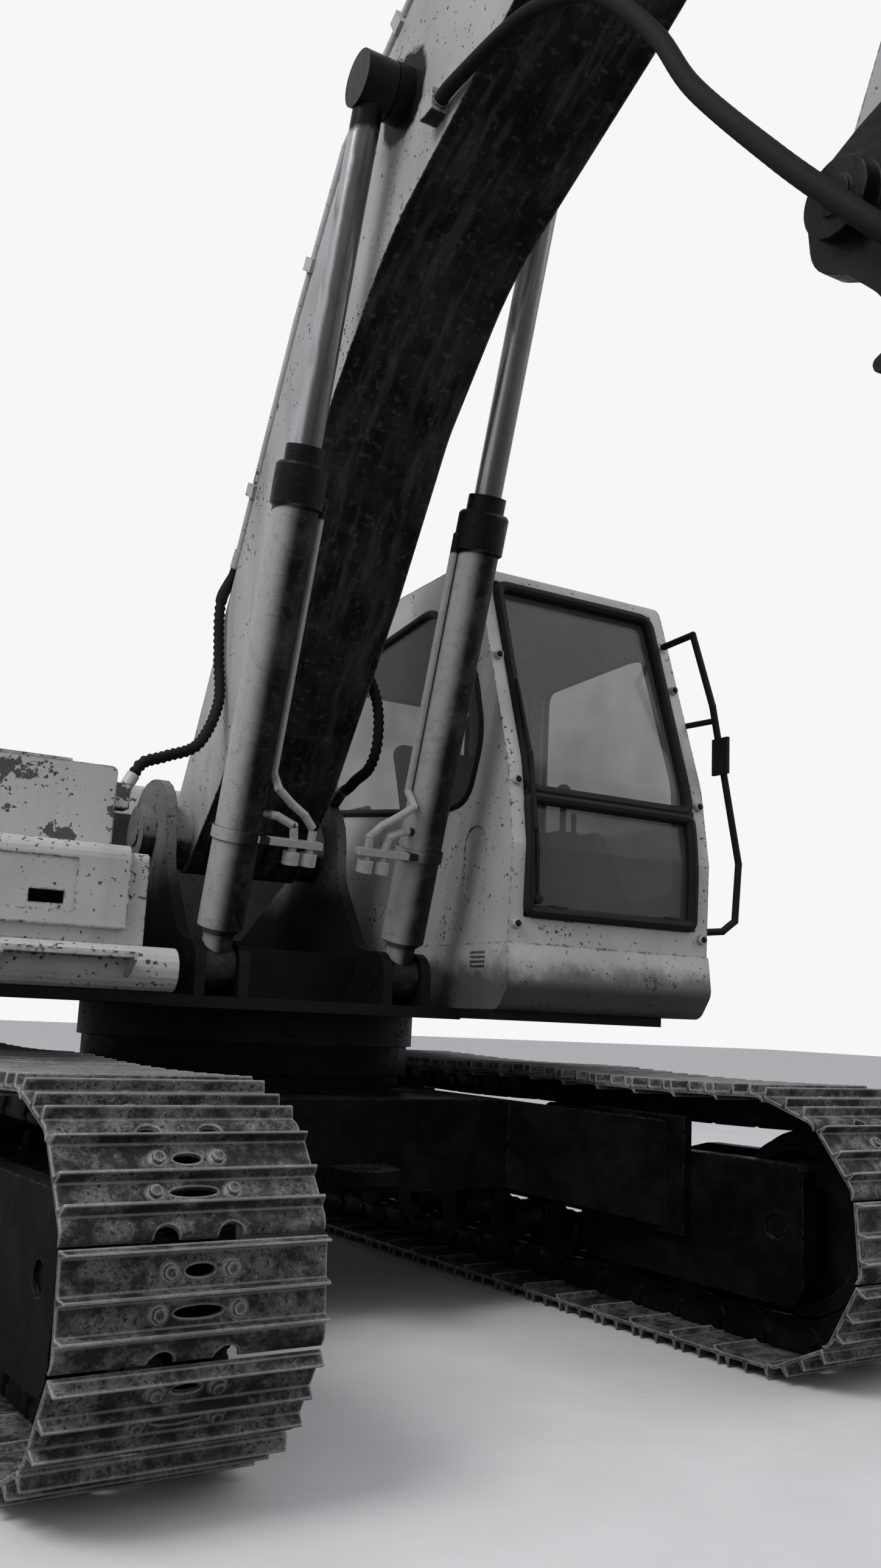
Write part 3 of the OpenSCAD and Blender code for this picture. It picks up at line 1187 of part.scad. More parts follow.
// Breaker bracket: two side plates with pin bosses on a base plate
plate_up = 400;
module breaker_frame(at) {
    // Frame of the breaker: origin on the arm's tip pin, -y down the breaker's axis
    translate(at) rotate(breaker_lean) children();
}
bracket_profile = [[-75, 118, 110], [75, 125, 90], [pin_spread - 60, 110, 80], [pin_spread + 80, 105, 90],
    [pin_spread + 110, -70, 90], [pin_spread + 60, -200, 120], [pin_spread + 90, -plate_up, 0],
    [-30, -plate_up, 0],
    [-10, -250, 150], [-60, -130, 60], [-125, -60, 90]];
module breaker_bracket() {
    base_half = bracket_half + 60;
    color("#57544f") {
        difference() {
            union() {
                for (side = [-1, 1]) {
                    slab(boom_offset + side * (bracket_half - bracket_plate / 2), bracket_plate)
                        breaker_frame(arm_tip) polygon(soften(bracket_profile));
                    for (pin = [arm_tip, link_pin])
                        bar(pin, boom_offset + side * (bracket_half + 18), 40, 78);
                }
                slab(boom_offset, 2 * base_half) breaker_frame(arm_tip)
                    polygon(soften([[-50, -plate_up - 30, 12], [-50, -plate_up, 12],
                        [pin_spread + 130, -plate_up, 12], [pin_spread + 130, -plate_up - 30, 12]]));
            }
            for (pin = [arm_tip, link_pin]) bar(pin, boom_offset, 900, tool_pin);
        }
        for (pin = [arm_tip, link_pin]) bar(pin, boom_offset, 2 * bracket_half + 90, tool_pin - fit);
        // Fitting for the breaker's hose on the base plate
        hose_fitting(breaker_route, 84, 22);
    }
}
module breaker_body() {
    mid = (pin_spread + 80) / 2;
    top = -plate_up - 30 - seat;
    color("#8a8a88") {
        difference() {
            slab(boom_offset, 420) breaker_frame(arm_tip)
                polygon(soften([[15, top, 10], [mid * 2 - 15, top, 10], [mid * 2 - 15, top - 34, 10],
                    [15, top - 34, 10]]));
            slab(boom_offset, 370) breaker_frame(arm_tip)
                polygon([[40, top + 1], [mid * 2 - 40, top + 1], [mid * 2 - 40, top - 40], [40, top - 40]]);
        }
        difference() {
            slab(boom_offset, 300) breaker_frame(arm_tip)
                polygon(soften([[mid - 190, top, 0], [mid + 190, top, 0],
                    [mid + 190, top - housing_length + 260, 60],
                    [mid + 110, top - housing_length, 40], [mid - 110, top - housing_length, 40],
                    [mid - 190, top - housing_length + 260, 60]]));
            breaker_axis(mid, top - housing_length) cylinder(r = chisel_radius + fit, h = 320, $fn = 48);
        }
    }
}
// Upward cylinder axis at a place in the breaker's frame
module breaker_axis(along, depth) {
    p = arm_tip + turned([along, depth], breaker_lean);
    translate([boom_offset, -p.x, p.y]) rotate([-breaker_lean, 0, 0]) children();
}
module breaker_chisel() {
    mid = (pin_spread + 80) / 2;
    low = -plate_up - 30 - seat - housing_length;
    color("#6b6864") breaker_axis(mid, low - chisel_length) {
        translate([0, 0, 90]) cylinder(r = chisel_radius, h = chisel_length + 200, $fn = 48);
        cylinder(r1 = 12, r2 = chisel_radius, h = 90, $fn = 48);
    }
}

car_body();
track_frame_right();
track_frame_left();
track_right();
track_left();
idler_wheels();
sprocket_wheels();
lower_rollers();
upper_rollers();
swing_bearing();
upper_frame();
side_rails();
counterweight();
engine_block();
engine_hood();
hood_sides();
right_service_door();
left_service_door();
fuel_tank();
tool_box();
tool_box_lid();
exhaust_stack();
right_foot_hose();
left_foot_hose();
breaker_hose();
cab_frame();
cab_skirt();
cab_glass();
cab_door();
cab_door_glass();
operator_seat();
control_console();
cab_handrail();
boom();
boom_pipes();
boom_barrels();
boom_rods();
arm();
arm_barrel();
arm_rod();
tool_barrel();
tool_rod();
tool_rocker();
tool_link();
breaker_bracket();
breaker_body();
breaker_chisel();
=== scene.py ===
# %% [markdown]
# # A crawler excavator with a hydraulic breaker
# This lesson dresses an excavator that already exists as exact CAD solids. The solids give the size,
# the place and the joints of every piece, so nothing here moves them. Blender adds what CAD leaves
# plain: worn paint, rust, grease, glass, and the small pieces that catch the eye from a step away.
# Every length is in metres. The ground is z = 0, the machine looks along -Y, its cab stands on +X.

# %% Load the frame
import math

import bmesh
import bpy
from mathutils import Matrix, Vector


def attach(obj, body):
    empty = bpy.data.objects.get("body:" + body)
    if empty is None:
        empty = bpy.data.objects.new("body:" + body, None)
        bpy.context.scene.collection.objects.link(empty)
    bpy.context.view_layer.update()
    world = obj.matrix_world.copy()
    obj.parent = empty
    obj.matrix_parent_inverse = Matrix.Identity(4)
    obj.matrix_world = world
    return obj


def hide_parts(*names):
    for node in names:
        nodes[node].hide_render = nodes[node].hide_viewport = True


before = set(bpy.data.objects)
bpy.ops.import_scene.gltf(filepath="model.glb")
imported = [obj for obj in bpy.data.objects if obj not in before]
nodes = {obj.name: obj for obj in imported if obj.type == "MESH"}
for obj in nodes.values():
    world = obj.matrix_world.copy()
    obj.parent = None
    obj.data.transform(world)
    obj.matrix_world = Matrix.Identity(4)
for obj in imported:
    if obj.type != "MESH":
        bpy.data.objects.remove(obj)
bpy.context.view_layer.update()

# %% [markdown]
# ## The camera
# The picture was taken close to the right track, from about a metre above the ground, with the camera
# held upright and tipped up a little. A camera has a place, three turns and a lens. The turns are
# written one by one, heading, tip and roll, because each can be checked against the picture: the
# horizon fixes the tip, the upright edges of the cab fix the roll.

# %% Camera at the photograph's place
camera_place = Vector((-2.007, -5.116, 1.062))
heading = -0.5111
tip = -0.1791
roll = 0.0465
focal_pixels = 2120
picture_height = 2576
sensor_mm = 36


def view_axes(heading, tip, roll):
    """Rows that point right, down and forward in the picture."""
    turn = Matrix.Rotation(heading, 3, "Z")
    upright = Matrix(((1, 0, 0), (0, 0, -1), (0, 1, 0)))
    return Matrix.Rotation(roll, 3, "Z") @ Matrix.Rotation(tip, 3, "X") @ upright @ turn.transposed()


right, down, forward = view_axes(heading, tip, roll)
bpy.ops.object.camera_add(location=camera_place)
camera = bpy.context.object
camera.data.lens = focal_pixels / picture_height * sensor_mm
camera.data.sensor_width = sensor_mm
camera.data.clip_end = 200
camera_turn = Matrix((right, -down, -forward)).transposed().to_4x4()
camera.matrix_world = Matrix.Translation(camera_place) @ camera_turn
bpy.context.scene.camera = camera
print("Lens:", round(camera.data.lens, 2), "mm")

# %% [markdown]
# ## Writing shader maths
# A finish is a small sum: a base colour, plus dirt where a noise is high, plus rust where a second
# noise passes a limit. Node trees hide such sums, so this cell lets them be written as Python. A
# Value wraps a socket, and adding or multiplying Values adds the Math nodes. Colours are never sent
# through Math nodes, because those turn them grey: they are mixed.


# %% A class for numbers that vary
class Value:
    """A number that varies over a surface, with the usual operators."""

    def __init__(self, finish, socket):
        self.finish = finish
        self.socket = socket

    def _math(self, operation, *numbers):
        return Value(self.finish, self.finish.add("Math", {"operation": operation}, *numbers).outputs[0])

    def __add__(self, other):
        return self._math("ADD", self, other)

    def __sub__(self, other):
        return self._math("SUBTRACT", self, other)

    def __rsub__(self, other):
        return self._math("SUBTRACT", other, self)

    def __mul__(self, other):
        return self._math("MULTIPLY", self, other)

    def absolute(self):
        return self._math("ABSOLUTE", self)

    def power(self, exponent):
        return self._math("POWER", self, exponent)

    def highest(self, other):
        return self._math("MAXIMUM", self, other)

    __radd__ = __add__
    __rmul__ = __mul__

    def ramp(self, low, high):
        """0 below low, 1 above high, smooth between."""
        node = self.finish.add("MapRange", {"interpolation_type": "SMOOTHSTEP"}, self, low, high, 0.0, 1.0)
        return Value(self.finish, node.outputs[0])


print("Values add, multiply and ramp by way of nodes")


# %% A class for finishes
class Finish:
    """A material whose shader is built by expressions on Values."""

    def __init__(self, name):
        self.material = bpy.data.materials.new(name)
        self.material.use_nodes = True
        self.tree = self.material.node_tree
        self.shader = self.tree.nodes["Principled BSDF"]
        self.place = self.add("TexCoord", {}).outputs["Object"]

    def add(self, kind, settings, *inputs, **named):
        """One node: its settings first, then the values or links of its sockets."""
        node = self.tree.nodes.new("ShaderNode" + kind)
        for key, value in settings.items():
            setattr(node, key, value)
        for key, value in list(enumerate(inputs)) + list(named.items()):
            self.feed(node.inputs[key.replace("_", " ") if isinstance(key, str) else key], value)
        return node

    def feed(self, socket, value):
        """Links a Value or a socket, or sets a plain number or colour."""
        value = value.socket if isinstance(value, Value) else value
        if isinstance(value, bpy.types.NodeSocket):
            self.tree.links.new(value, socket)
        else:
            socket.default_value = value

    def stretched(self, across=1.0, along=1.0, up=1.0):
        """Object coordinates squeezed by a factor on each axis."""
        return self.add("Mapping", {}, self.place, Scale=(across, along, up)).outputs[0]

    def noise(self, scale, detail=3.0, roughness=0.55, place=None):
        node = self.add("TexNoise", {}, Vector=place or self.place, Scale=scale, Detail=detail,
                        Roughness=roughness)
        return Value(self, node.outputs[0])

    def along(self, axis):
        """The place on the surface along X, Y or Z, in metres."""
        return Value(self, self.add("SeparateXYZ", {}, self.place).outputs[axis])

    def height(self):
        return self.along("Z")

    def facing(self, axis):
        """The part of the surface's own normal along X, Y or Z."""
        normal = self.add("TexCoord", {}).outputs["Normal"]
        return Value(self, self.add("SeparateXYZ", {}, normal).outputs[axis])

    def facing_up(self):
        return self.facing("Z")

    def facing_down(self):
        return self.facing_up() * -1.0

    def round_pin(self, ahead, up, reach):
        """1 near a pin that runs across the machine, with a ragged rim."""
        away, above = self.along("Y") + ahead, self.height() - up
        ragged = (away * away + above * above).power(0.5) + self.noise(9.0, 4, 0.7) * 0.1
        return 1 - ragged.ramp(reach + 0.04, reach + 0.07)

    def rounded(self, radius):
        """A normal that turns over sharp edges as if they were rounded."""
        return self.add("Bevel", {"samples": 4}, radius).outputs[0]

    def edges(self, width):
        """1 along sharp edges: where a rounded normal leaves the real one."""
        soft = self.rounded(width)
        true = self.add("NewGeometry", {}).outputs["Normal"]
        dot = self.add("VectorMath", {"operation": "DOT_PRODUCT"}, soft, true).outputs["Value"]
        return 1 - Value(self, dot)

    def mix(self, mask, first, second):
        """The first colour where the mask is 0, the second where it is 1."""
        node = self.add("Mix", {"data_type": "RGBA"}, mask)
        self.feed(node.inputs[6], first)
        self.feed(node.inputs[7], second)
        return node.outputs[2]

    def bump(self, height, depth, under=None):
        node = self.add("Bump", {}, Strength=1.0, Distance=depth, Height=height)
        if under is not None:
            self.feed(node.inputs["Normal"], under)
        return node.outputs[0]

    def done(self, **sockets):
        """Feeds the shader's sockets and returns the material."""
        for name, value in sockets.items():
            self.feed(self.shader.inputs[name.replace("_", " ")], value)
        return self.material


def grey(shade, warmth=0.0):
    """A neutral colour, a touch warmer or cooler."""
    return (shade * (1 + warmth), shade, shade * (1 - warmth), 1)


print("Finishes are written as sums of noise, height and edges")


# %% [markdown]
# ## Worn light paint
# The machine's light paint has stood outside for years. From close by it shows three things: broad
# soft stains, thin streaks that ran down with the rain, and hundreds of small dark rust specks that
# crowd along the edges of the sheets. Each is one noise with its own size and limit. A bevel node
# rounds the hard CAD edges in the shading alone, and its difference from the true normal tells where
# the edges are, so the rust knows where to gather. Under the boom the faces turned down are black,
# partly with grease that ran down in streaks and partly with painted shade, the low frame is black
# all over, and the cab's skirt is splashed.


# %% Worn paint for sheet metal
def worn_paint(name, shade, rust=0.5, grime=0.35, peeled=0.0, belly=0.0, deck=0.0, splash=0.0,
               pins=(), dents=0.0, shine=0.5, oily_front=0.0):
    """Light sheet metal paint and its dirt.

    belly puts black grease and painted shade on faces turned down, deck blackens all below that height,
    splash dirties all below that height, pins lists greasy pins (ahead, up, reach), dents is the depth
    of soft dents in metres, and oily_front blackens faces turned ahead.
    """
    paint = Finish(name)
    paint.shader.inputs["Specular IOR Level"].default_value = shine
    stains = paint.noise(1.7, 4).ramp(0.42, 0.72)
    streaks = paint.noise(9.0, 3, place=paint.stretched(1, 1, 0.09)).ramp(0.52, 0.75)
    edge = paint.edges(0.012).ramp(0.01, 0.12)
    fine = paint.noise(60.0, 2)
    patches = paint.noise(7.0, 5, 0.65)
    specks = (fine + patches * 0.55 + edge * 0.16).ramp(1.0 - 0.1 * rust, 1.04 - 0.1 * rust)
    bare = 1.12 - 0.3 * peeled
    flakes = (patches + paint.noise(1.1, 1) * 0.5 + edge * 0.1).ramp(bare, bare + 0.01)
    coat = paint.mix(stains * grime, grey(shade), grey(shade * 0.62, 0.03))
    coat = paint.mix(streaks * (grime * 0.7), coat, grey(shade * 0.5, 0.04))
    coat = paint.mix(edge * (fine.ramp(0.35, 0.6)) * 0.5, coat, grey(shade * 0.35, 0.05))
    coat = paint.mix(specks, coat, grey(0.055, 0.12))
    if peeled:
        coat = paint.mix(flakes, coat, grey(0.075, 0.08))
    if belly:
        mottle = paint.noise(5.0, 6, 0.7).ramp(0.35, 0.7)
        runs = paint.noise(15.0, 5, 0.65, place=paint.stretched(1, 0.14, 0.14)).ramp(0.47, 0.66)
        spots = paint.noise(34.0, 4, 0.65).ramp(0.55, 0.66)
        # Faces turned down go black: partly grease that ran down in streaks, partly painted shade of the
        # underside.
        under = (paint.facing_down() + mottle * 0.1).ramp(0.12, 0.32) * (belly - edge * 0.7)
        grease = paint.mix(mottle, grey(0.005), grey(0.035, 0.02))
        grease = paint.mix(runs * 0.6, grease, grey(0.09, 0.02))
        grease = paint.mix(spots * 0.3, grease, grey(0.16, 0.02))
        coat = paint.mix(under, coat, grease)
    for ahead, up, reach in pins:
        coat = paint.mix(paint.round_pin(ahead, up, reach), coat, grey(0.006))
    if oily_front:
        front = (paint.facing("Y") * -1.0).ramp(0.7, 0.95)
        coat = paint.mix(front * (oily_front - patches * 0.1), coat, grey(0.012))
    if deck:
        ragged = paint.height() + paint.noise(3.0, 4) * 0.25
        coat = paint.mix(1 - ragged.ramp(deck, deck + 0.25), coat, grey(0.01))
    if splash:
        low = 1 - (paint.height() - paint.noise(4.0, 5, 0.7) * 0.22).ramp(splash - 0.1, splash)
        coat = paint.mix(low * 0.85, coat, grey(0.03, 0.03))
    hollow = specks * -1.0 + flakes * (-2.0 if peeled else 0.0) + fine * 0.12
    rounded = paint.rounded(0.004)
    if dents:
        rounded = paint.bump(paint.noise(3.6, 1), dents, under=rounded)
    return paint.done(
        Base_Color=coat,
        Roughness=0.42 + stains * 0.18 + specks * 0.3,
        Normal=paint.bump(hollow, 0.0006, under=rounded),
    )


# %% The machine's paints
lift_eye = (1.679, 4.060)
machine_paint = worn_paint("machine_paint", 0.5, rust=0.75, grime=0.45, dents=0.02)
cab_paint = worn_paint("cab_paint", 0.52, rust=0.5, grime=0.4, splash=1.2, dents=0.02)
boom_paint = worn_paint("boom_paint", 0.44, rust=0.5, grime=0.6, belly=1.0, pins=[lift_eye + (0.15,)],
                        shine=0.15)
bulkhead_paint = worn_paint("bulkhead_paint", 0.5, rust=0.75, grime=0.45, dents=0.02, oily_front=1.0)
pipe_paint = worn_paint("pipe_paint", 0.5, rust=0.5, grime=0.5)
peeling_paint = worn_paint("peeling_paint", 0.52, rust=0.9, grime=0.4, peeled=1.0)
frame_paint = worn_paint("frame_paint", 0.22, rust=0.9, grime=0.9, belly=1.0, deck=1.6, shine=0.1)
print("Paints made")

# %% [markdown]
# ## Grease, rust and bare steel
# Below the platform nothing is clean. The track frames are black with grease and dust, the shoes are
# brown with rust, and the top of each grouser is rubbed bright. The rods are chromed, and the breaker
# bracket is oily dark steel.


# %% Greasy steel and iron
def greasy_steel(name, shade, dust=0.3, shine=0.35, sheen=0.35):
    """Dark steel under a crust of grease, with dust on what faces up."""
    steel = Finish(name)
    crust = steel.noise(6.0, 6, 0.7)
    grains = steel.noise(45.0, 3, 0.6)
    upward = steel.facing_up().ramp(0.2, 0.95)
    dusty = (crust * 0.7 + upward * 0.45).ramp(0.45, 0.95) * dust
    colour = steel.mix(crust.ramp(0.35, 0.7), grey(shade * 0.5), grey(shade * 1.3, 0.05))
    colour = steel.mix(dusty, colour, grey(0.25, 0.05))
    edge = steel.edges(0.01).ramp(0.02, 0.2)
    colour = steel.mix(edge * grains.ramp(0.45, 0.6) * 0.6, colour, grey(shade * 2.4 + 0.05, 0.03))
    rounded = steel.rounded(0.006)
    steel.shader.inputs["Specular IOR Level"].default_value = sheen
    return steel.done(
        Base_Color=colour,
        Roughness=shine + crust.ramp(0.4, 0.7) * 0.35 + dusty * 0.3,
        Normal=steel.bump(grains * 0.4 + crust, 0.004, under=rounded),
    )


undercarriage_paint = greasy_steel("undercarriage_paint", 0.006, dust=0.05, sheen=0.05)
wheel_steel = greasy_steel("wheel_steel", 0.008, dust=0.06, sheen=0.08)
tool_steel = greasy_steel("tool_steel", 0.012, dust=0.1, shine=0.25, sheen=0.18)
breaker_steel = greasy_steel("breaker_steel", 0.12, dust=0.3)
engine_iron = greasy_steel("engine_iron", 0.05, dust=0.2)
print("Greasy steels made")


# %% Rusty steel, rubbed bright on its edges
def rusty_steel(name, shade, bright=0.0):
    """Pitted rust with mud and grit; bright is how far the whole surface is rubbed."""
    steel = Finish(name)
    blotches = steel.noise(11.0, 7, 0.72)
    pits = steel.noise(85.0, 4, 0.7)
    mud = steel.noise(3.2, 4, 0.6).ramp(0.5, 0.75)
    grit = steel.noise(150.0, 2, 0.6).ramp(0.55, 0.66)
    colour = steel.mix(blotches.ramp(0.4, 0.62), grey(shade * 0.14, 0.05), grey(shade * 1.5, 0.04))
    colour = steel.mix(mud * 0.4, colour, grey(0.26, 0.05))
    colour = steel.mix(pits.ramp(0.52, 0.62), colour, grey(0.02, 0.05))
    colour = steel.mix(grit * blotches.ramp(0.4, 0.7) * 0.8, colour, grey(0.4, 0.03))
    edge = steel.edges(0.01).ramp(0.02, 0.16)
    rubbed = (edge + blotches * 0.4).ramp(0.35, 0.75) * 0.85 + bright * blotches.ramp(0.3, 0.6)
    colour = steel.mix(rubbed, colour, grey(0.55, 0.04))
    rounded = steel.rounded(0.005)
    return steel.done(
        Base_Color=colour,
        Metallic=0.3 + bright * 0.35,
        Roughness=0.72 - rubbed * 0.35,
        Normal=steel.bump(blotches + pits * 0.6, 0.006, under=rounded),
    )


track_steel = rusty_steel("track_steel", 0.12)
chisel_steel = rusty_steel("chisel_steel", 0.28, bright=0.3)
print("Rusty steels made")

# %% [markdown]
# ## Chrome, glass, rubber, plastic and cloth
# A rod's chrome has a painted reflection: bright on its flanks and dark between them, and oil smears
# dull it here and there. A barrel's paint fades into black round its front, partly grease and partly
# painted shade, so its colour follows the way that a face looks. The panes are dark and dusty: a low
# Alpha lets the cab's inside show through a film of dust.


# %% Chrome of the rods and paint of the barrels
def greasy_chrome_with_painted_reflection():
    """Chrome with a painted reflection, bright on its flanks and dark between, and black with grease round
    the eye's pin.
    """
    chrome = Finish("chrome_rod")
    smears = chrome.noise(14.0, 4, 0.6, place=chrome.stretched(1, 1, 0.3)).ramp(0.42, 0.8)
    # Painted reflection: faces turned to either side are bright chrome, the faces between are dark.
    flank = (chrome.facing("X").absolute() + smears * 0.2).ramp(0.6, 0.9)
    clotted = chrome.round_pin(*lift_eye, 0.15)
    chrome.shader.inputs["Specular IOR Level"].default_value = 0.15
    colour = chrome.mix(flank, grey(0.16, 0.03), grey(0.6))
    colour = chrome.mix(clotted, chrome.mix(smears, colour, grey(0.1, 0.03)), grey(0.01))
    return chrome.done(Base_Color=colour, Metallic=0.85 - clotted * 0.85, Roughness=0.22 + smears * 0.3)


# The boom's middle stands this far to the right, and its pipes lie within this reach of it.
boom_aside, pipe_reach = 0.1, 0.27


def greasy_barrel_with_painted_shade(name, shade, band_low, band_high):
    """Cylinder paint under glossy grease: the right flank and the pipes between stay light, and the rest is
    black, partly grease and partly painted shade.
    """
    barrel = Finish(name)
    barrel.shader.inputs["Specular IOR Level"].default_value = 0.18
    mottle = barrel.noise(6.0, 6, 0.7)
    clots = barrel.noise(30.0, 4, 0.65).ramp(0.5, 0.7)
    up = barrel.height()
    band = up.ramp(band_low, band_low + 0.01) * (1 - up.ramp(band_high, band_high + 0.01))
    from_boom = (barrel.along("X") + boom_aside).absolute()
    pipes = 1 - from_boom.ramp(pipe_reach - 0.004, pipe_reach + 0.004)
    # Light paint stays on faces turned right and on the pipes; elsewhere it is black, partly grease and
    # partly painted shade.
    flank = (mottle * 0.3 - barrel.facing("X")).ramp(0.2, 0.95).highest(pipes) * (1 - band)
    paint = barrel.mix(clots * 0.3, grey(shade), grey(shade * 0.35, 0.03))
    grease = barrel.mix(mottle.ramp(0.45, 0.7) - band, grey(0.005), grey(0.035, 0.03))
    grease = barrel.mix(clots * 0.2 - band, grease, grey(0.1, 0.03))
    return barrel.done(
        Base_Color=barrel.mix(flank, grease, paint),
        Roughness=0.24 + mottle.ramp(0.35, 0.7) * 0.35,
        Normal=barrel.bump(mottle + clots * 0.3, 0.003),
    )


chrome_rod = greasy_chrome_with_painted_reflection()
cylinder_paint = greasy_barrel_with_painted_shade("cylinder_paint", 0.42, 2.7, 3.3)
print("Rods and barrels have their finish")


# %% Glass, rubber and plastic
def dusty_glass():
    """Dark glass under a film of dust, and darker still on the lower pane."""
    glass = Finish("window_glass")
    film = glass.noise(2.4, 5, 0.6).ramp(0.35, 0.8)
    lower = 1 - glass.height().ramp(1.86, 1.9)
    glass.done(Base_Color=grey(0.08), Roughness=0.05 + film * 0.2, Alpha=0.34 + film * 0.14 + lower * 0.3)
    glass.shader.inputs["IOR"].default_value = 1.5
    return glass.material


def dull_black(name, shade, rough=0.55, grain=220.0):
    """Black rubber or plastic with a fine grain and a little dust on top."""
    black = Finish(name)
    skin = black.noise(grain, 2)
    black.shader.inputs["Specular IOR Level"].default_value = 0.12
    dust = (black.facing_up().ramp(0.1, 1.0) * black.noise(5.0, 4).ramp(0.3, 0.8)) * 0.07
    colour = black.mix(dust, grey(shade), grey(0.25, 0.04))
    return black.done(Base_Color=colour, Roughness=rough + dust * 0.4, Normal=black.bump(skin, 0.0005))


window_glass = dusty_glass()
black_trim = dull_black("black_trim", 0.014)
rubber = dull_black("rubber", 0.012, rough=0.7, grain=90.0)
print("Glass, rubber and plastic made")


# %% Woven cloth
def woven_cloth():
    """Two crossed waves are the threads, and a broad noise is the wear."""
    cloth = Finish("seat_cloth")
    across = cloth.add("TexWave", {"bands_direction": "X"}, Vector=cloth.place, Scale=110.0, Distortion=1.0)
    along = cloth.add("TexWave", {"bands_direction": "Y"}, Vector=cloth.place, Scale=110.0, Distortion=1.0)
    weave = Value(cloth, across.outputs[1]) * Value(cloth, along.outputs[1])
    worn = cloth.noise(6.0, 4).ramp(0.4, 0.7)
    colour = cloth.mix(worn * 0.4 + weave * 0.3, grey(0.05), grey(0.13))
    return cloth.done(Base_Color=colour, Roughness=0.9, Normal=cloth.bump(weave, 0.0008))


seat_cloth = woven_cloth()
print("Cloth woven")

# %% [markdown]
# ## Dressing the CAD nodes
# The CAD solids already have the right shape, so each keeps its mesh and only gets a finish. One
# table says which finish goes on which nodes. A node that a finer piece replaces is dressed as well,
# because it stays in the model, hidden.

# %% Every CAD node gets its finish
node_finishes = {
    undercarriage_paint: ["car_body", "track_frame_right", "track_frame_left", "swing_bearing"],
    track_steel: ["track_right", "track_left"],
    wheel_steel: ["idler_wheels", "sprocket_wheels", "lower_rollers", "upper_rollers"],
    frame_paint: ["upper_frame", "exhaust_stack"],
    machine_paint: ["side_rails", "counterweight", "engine_hood", "right_service_door",
                    "left_service_door", "tool_box", "tool_box_lid"],
    bulkhead_paint: ["hood_sides"],
    peeling_paint: ["fuel_tank"],
    engine_iron: ["engine_block"],
    cab_paint: ["cab_frame", "cab_skirt", "cab_door"],
    window_glass: ["cab_glass", "cab_door_glass"],
    seat_cloth: ["operator_seat"],
    black_trim: ["control_console", "cab_handrail"],
    boom_paint: ["boom", "arm"],
    pipe_paint: ["boom_pipes"],
    cylinder_paint: ["boom_barrels", "arm_barrel", "tool_barrel"],
    chrome_rod: ["boom_rods", "arm_rod", "tool_rod"],
    rubber: ["right_foot_hose", "left_foot_hose", "breaker_hose"],
    tool_steel: ["tool_rocker", "tool_link", "breaker_bracket"],
    breaker_steel: ["breaker_body"],
    chisel_steel: ["breaker_chisel"],
}


def dress(obj, material):
    """One finish over a whole object."""
    obj.data.materials.clear()
    obj.data.materials.append(material)


dressed = 0
for material, names in node_finishes.items():
    for name in names:
        dress(nodes[name], material)
        dressed += 1
print("CAD nodes dressed:", dressed)

# %% [markdown]
# ## Helpers for modelling by hand
# Every new piece is made as a modeller makes it: a primitive at its size and place, then edits, then a
# bevel, because no real edge is knife sharp and a bevel is what catches the light. An operator works
# on all that is selected, so each helper first leaves nothing selected but its own piece. At the end
# the piece's place is moved into its mesh, which keeps a pattern from sliding when a body turns.


# %% Select, settle and bevel
def place(side, ahead, up):
    """A point from the machine's own measures: to the left, ahead and up."""
    return Vector((side, -ahead, up))


def only(*pieces):
    """Leaves nothing selected but these pieces, the first of them active."""
    for piece in list(bpy.context.selected_objects):
        piece.select_set(False)
    for piece in pieces:
        piece.select_set(True)
    bpy.context.view_layer.objects.active = pieces[0]


def settled(piece):
    """Moves the piece's place, turn and size into its mesh."""
    only(piece)
    bpy.ops.object.transform_apply(location=True, rotation=True, scale=True)
    return piece


def bevelled(piece, width, segments=2, angle=40):
    """Rounds the edges that are sharper than an angle in degrees."""
    only(piece)
    edges = piece.modifiers.new("edges", "BEVEL")
    edges.width = width
    edges.segments = segments
    edges.angle_limit = math.radians(angle)
    bpy.ops.object.modifier_apply(modifier="edges")
    return piece


print("Helpers that select, settle and bevel are ready")


# %% Blocks, rods and cuts
def cut_with(piece, cutter):
    """Takes the cutter's shape out of the piece."""
    only(piece)
    cut = piece.modifiers.new("cut", "BOOLEAN")
    cut.object = cutter
    cut.solver = "EXACT"
    bpy.ops.object.modifier_apply(modifier="cut")
    bpy.data.objects.remove(cutter)


def block(low, high, edge=0.003):
    """A box between two corners, with broken edges."""
    low, high = Vector(low), Vector(high)
    bpy.ops.mesh.primitive_cube_add(size=1, location=(low + high) / 2)
    piece = bpy.context.object
    piece.scale = high - low
    settled(piece)
    return bevelled(piece, edge) if edge else piece


def rod(start, end, radius, sides=24):
    """Round bar between two places, with broken edges."""
    start, end = Vector(start), Vector(end)
    bpy.ops.mesh.primitive_cylinder_add(vertices=sides, radius=radius, depth=(end - start).length,
                                        location=(start + end) / 2)
    piece = bpy.context.object
    piece.rotation_euler = (end - start).to_track_quat("Z", "X").to_euler()
    return bevelled(settled(piece), 0.0015)


print("Blocks, rods and cuts are ready")


# %% Join, copy and fasten
def joined(pieces):
    """Many pieces made one."""
    only(*pieces)
    if len(pieces) > 1:
        bpy.ops.object.join()
    return bpy.context.object


def copies(model, matrices):
    """The model's own mesh set down at each matrix, all in one piece."""
    made = []
    for matrix in matrices:
        twin = model.copy()
        twin.data = model.data.copy()
        twin.data.transform(matrix)
        bpy.context.collection.objects.link(twin)
        made.append(twin)
    bpy.data.objects.remove(model)
    return joined(made)


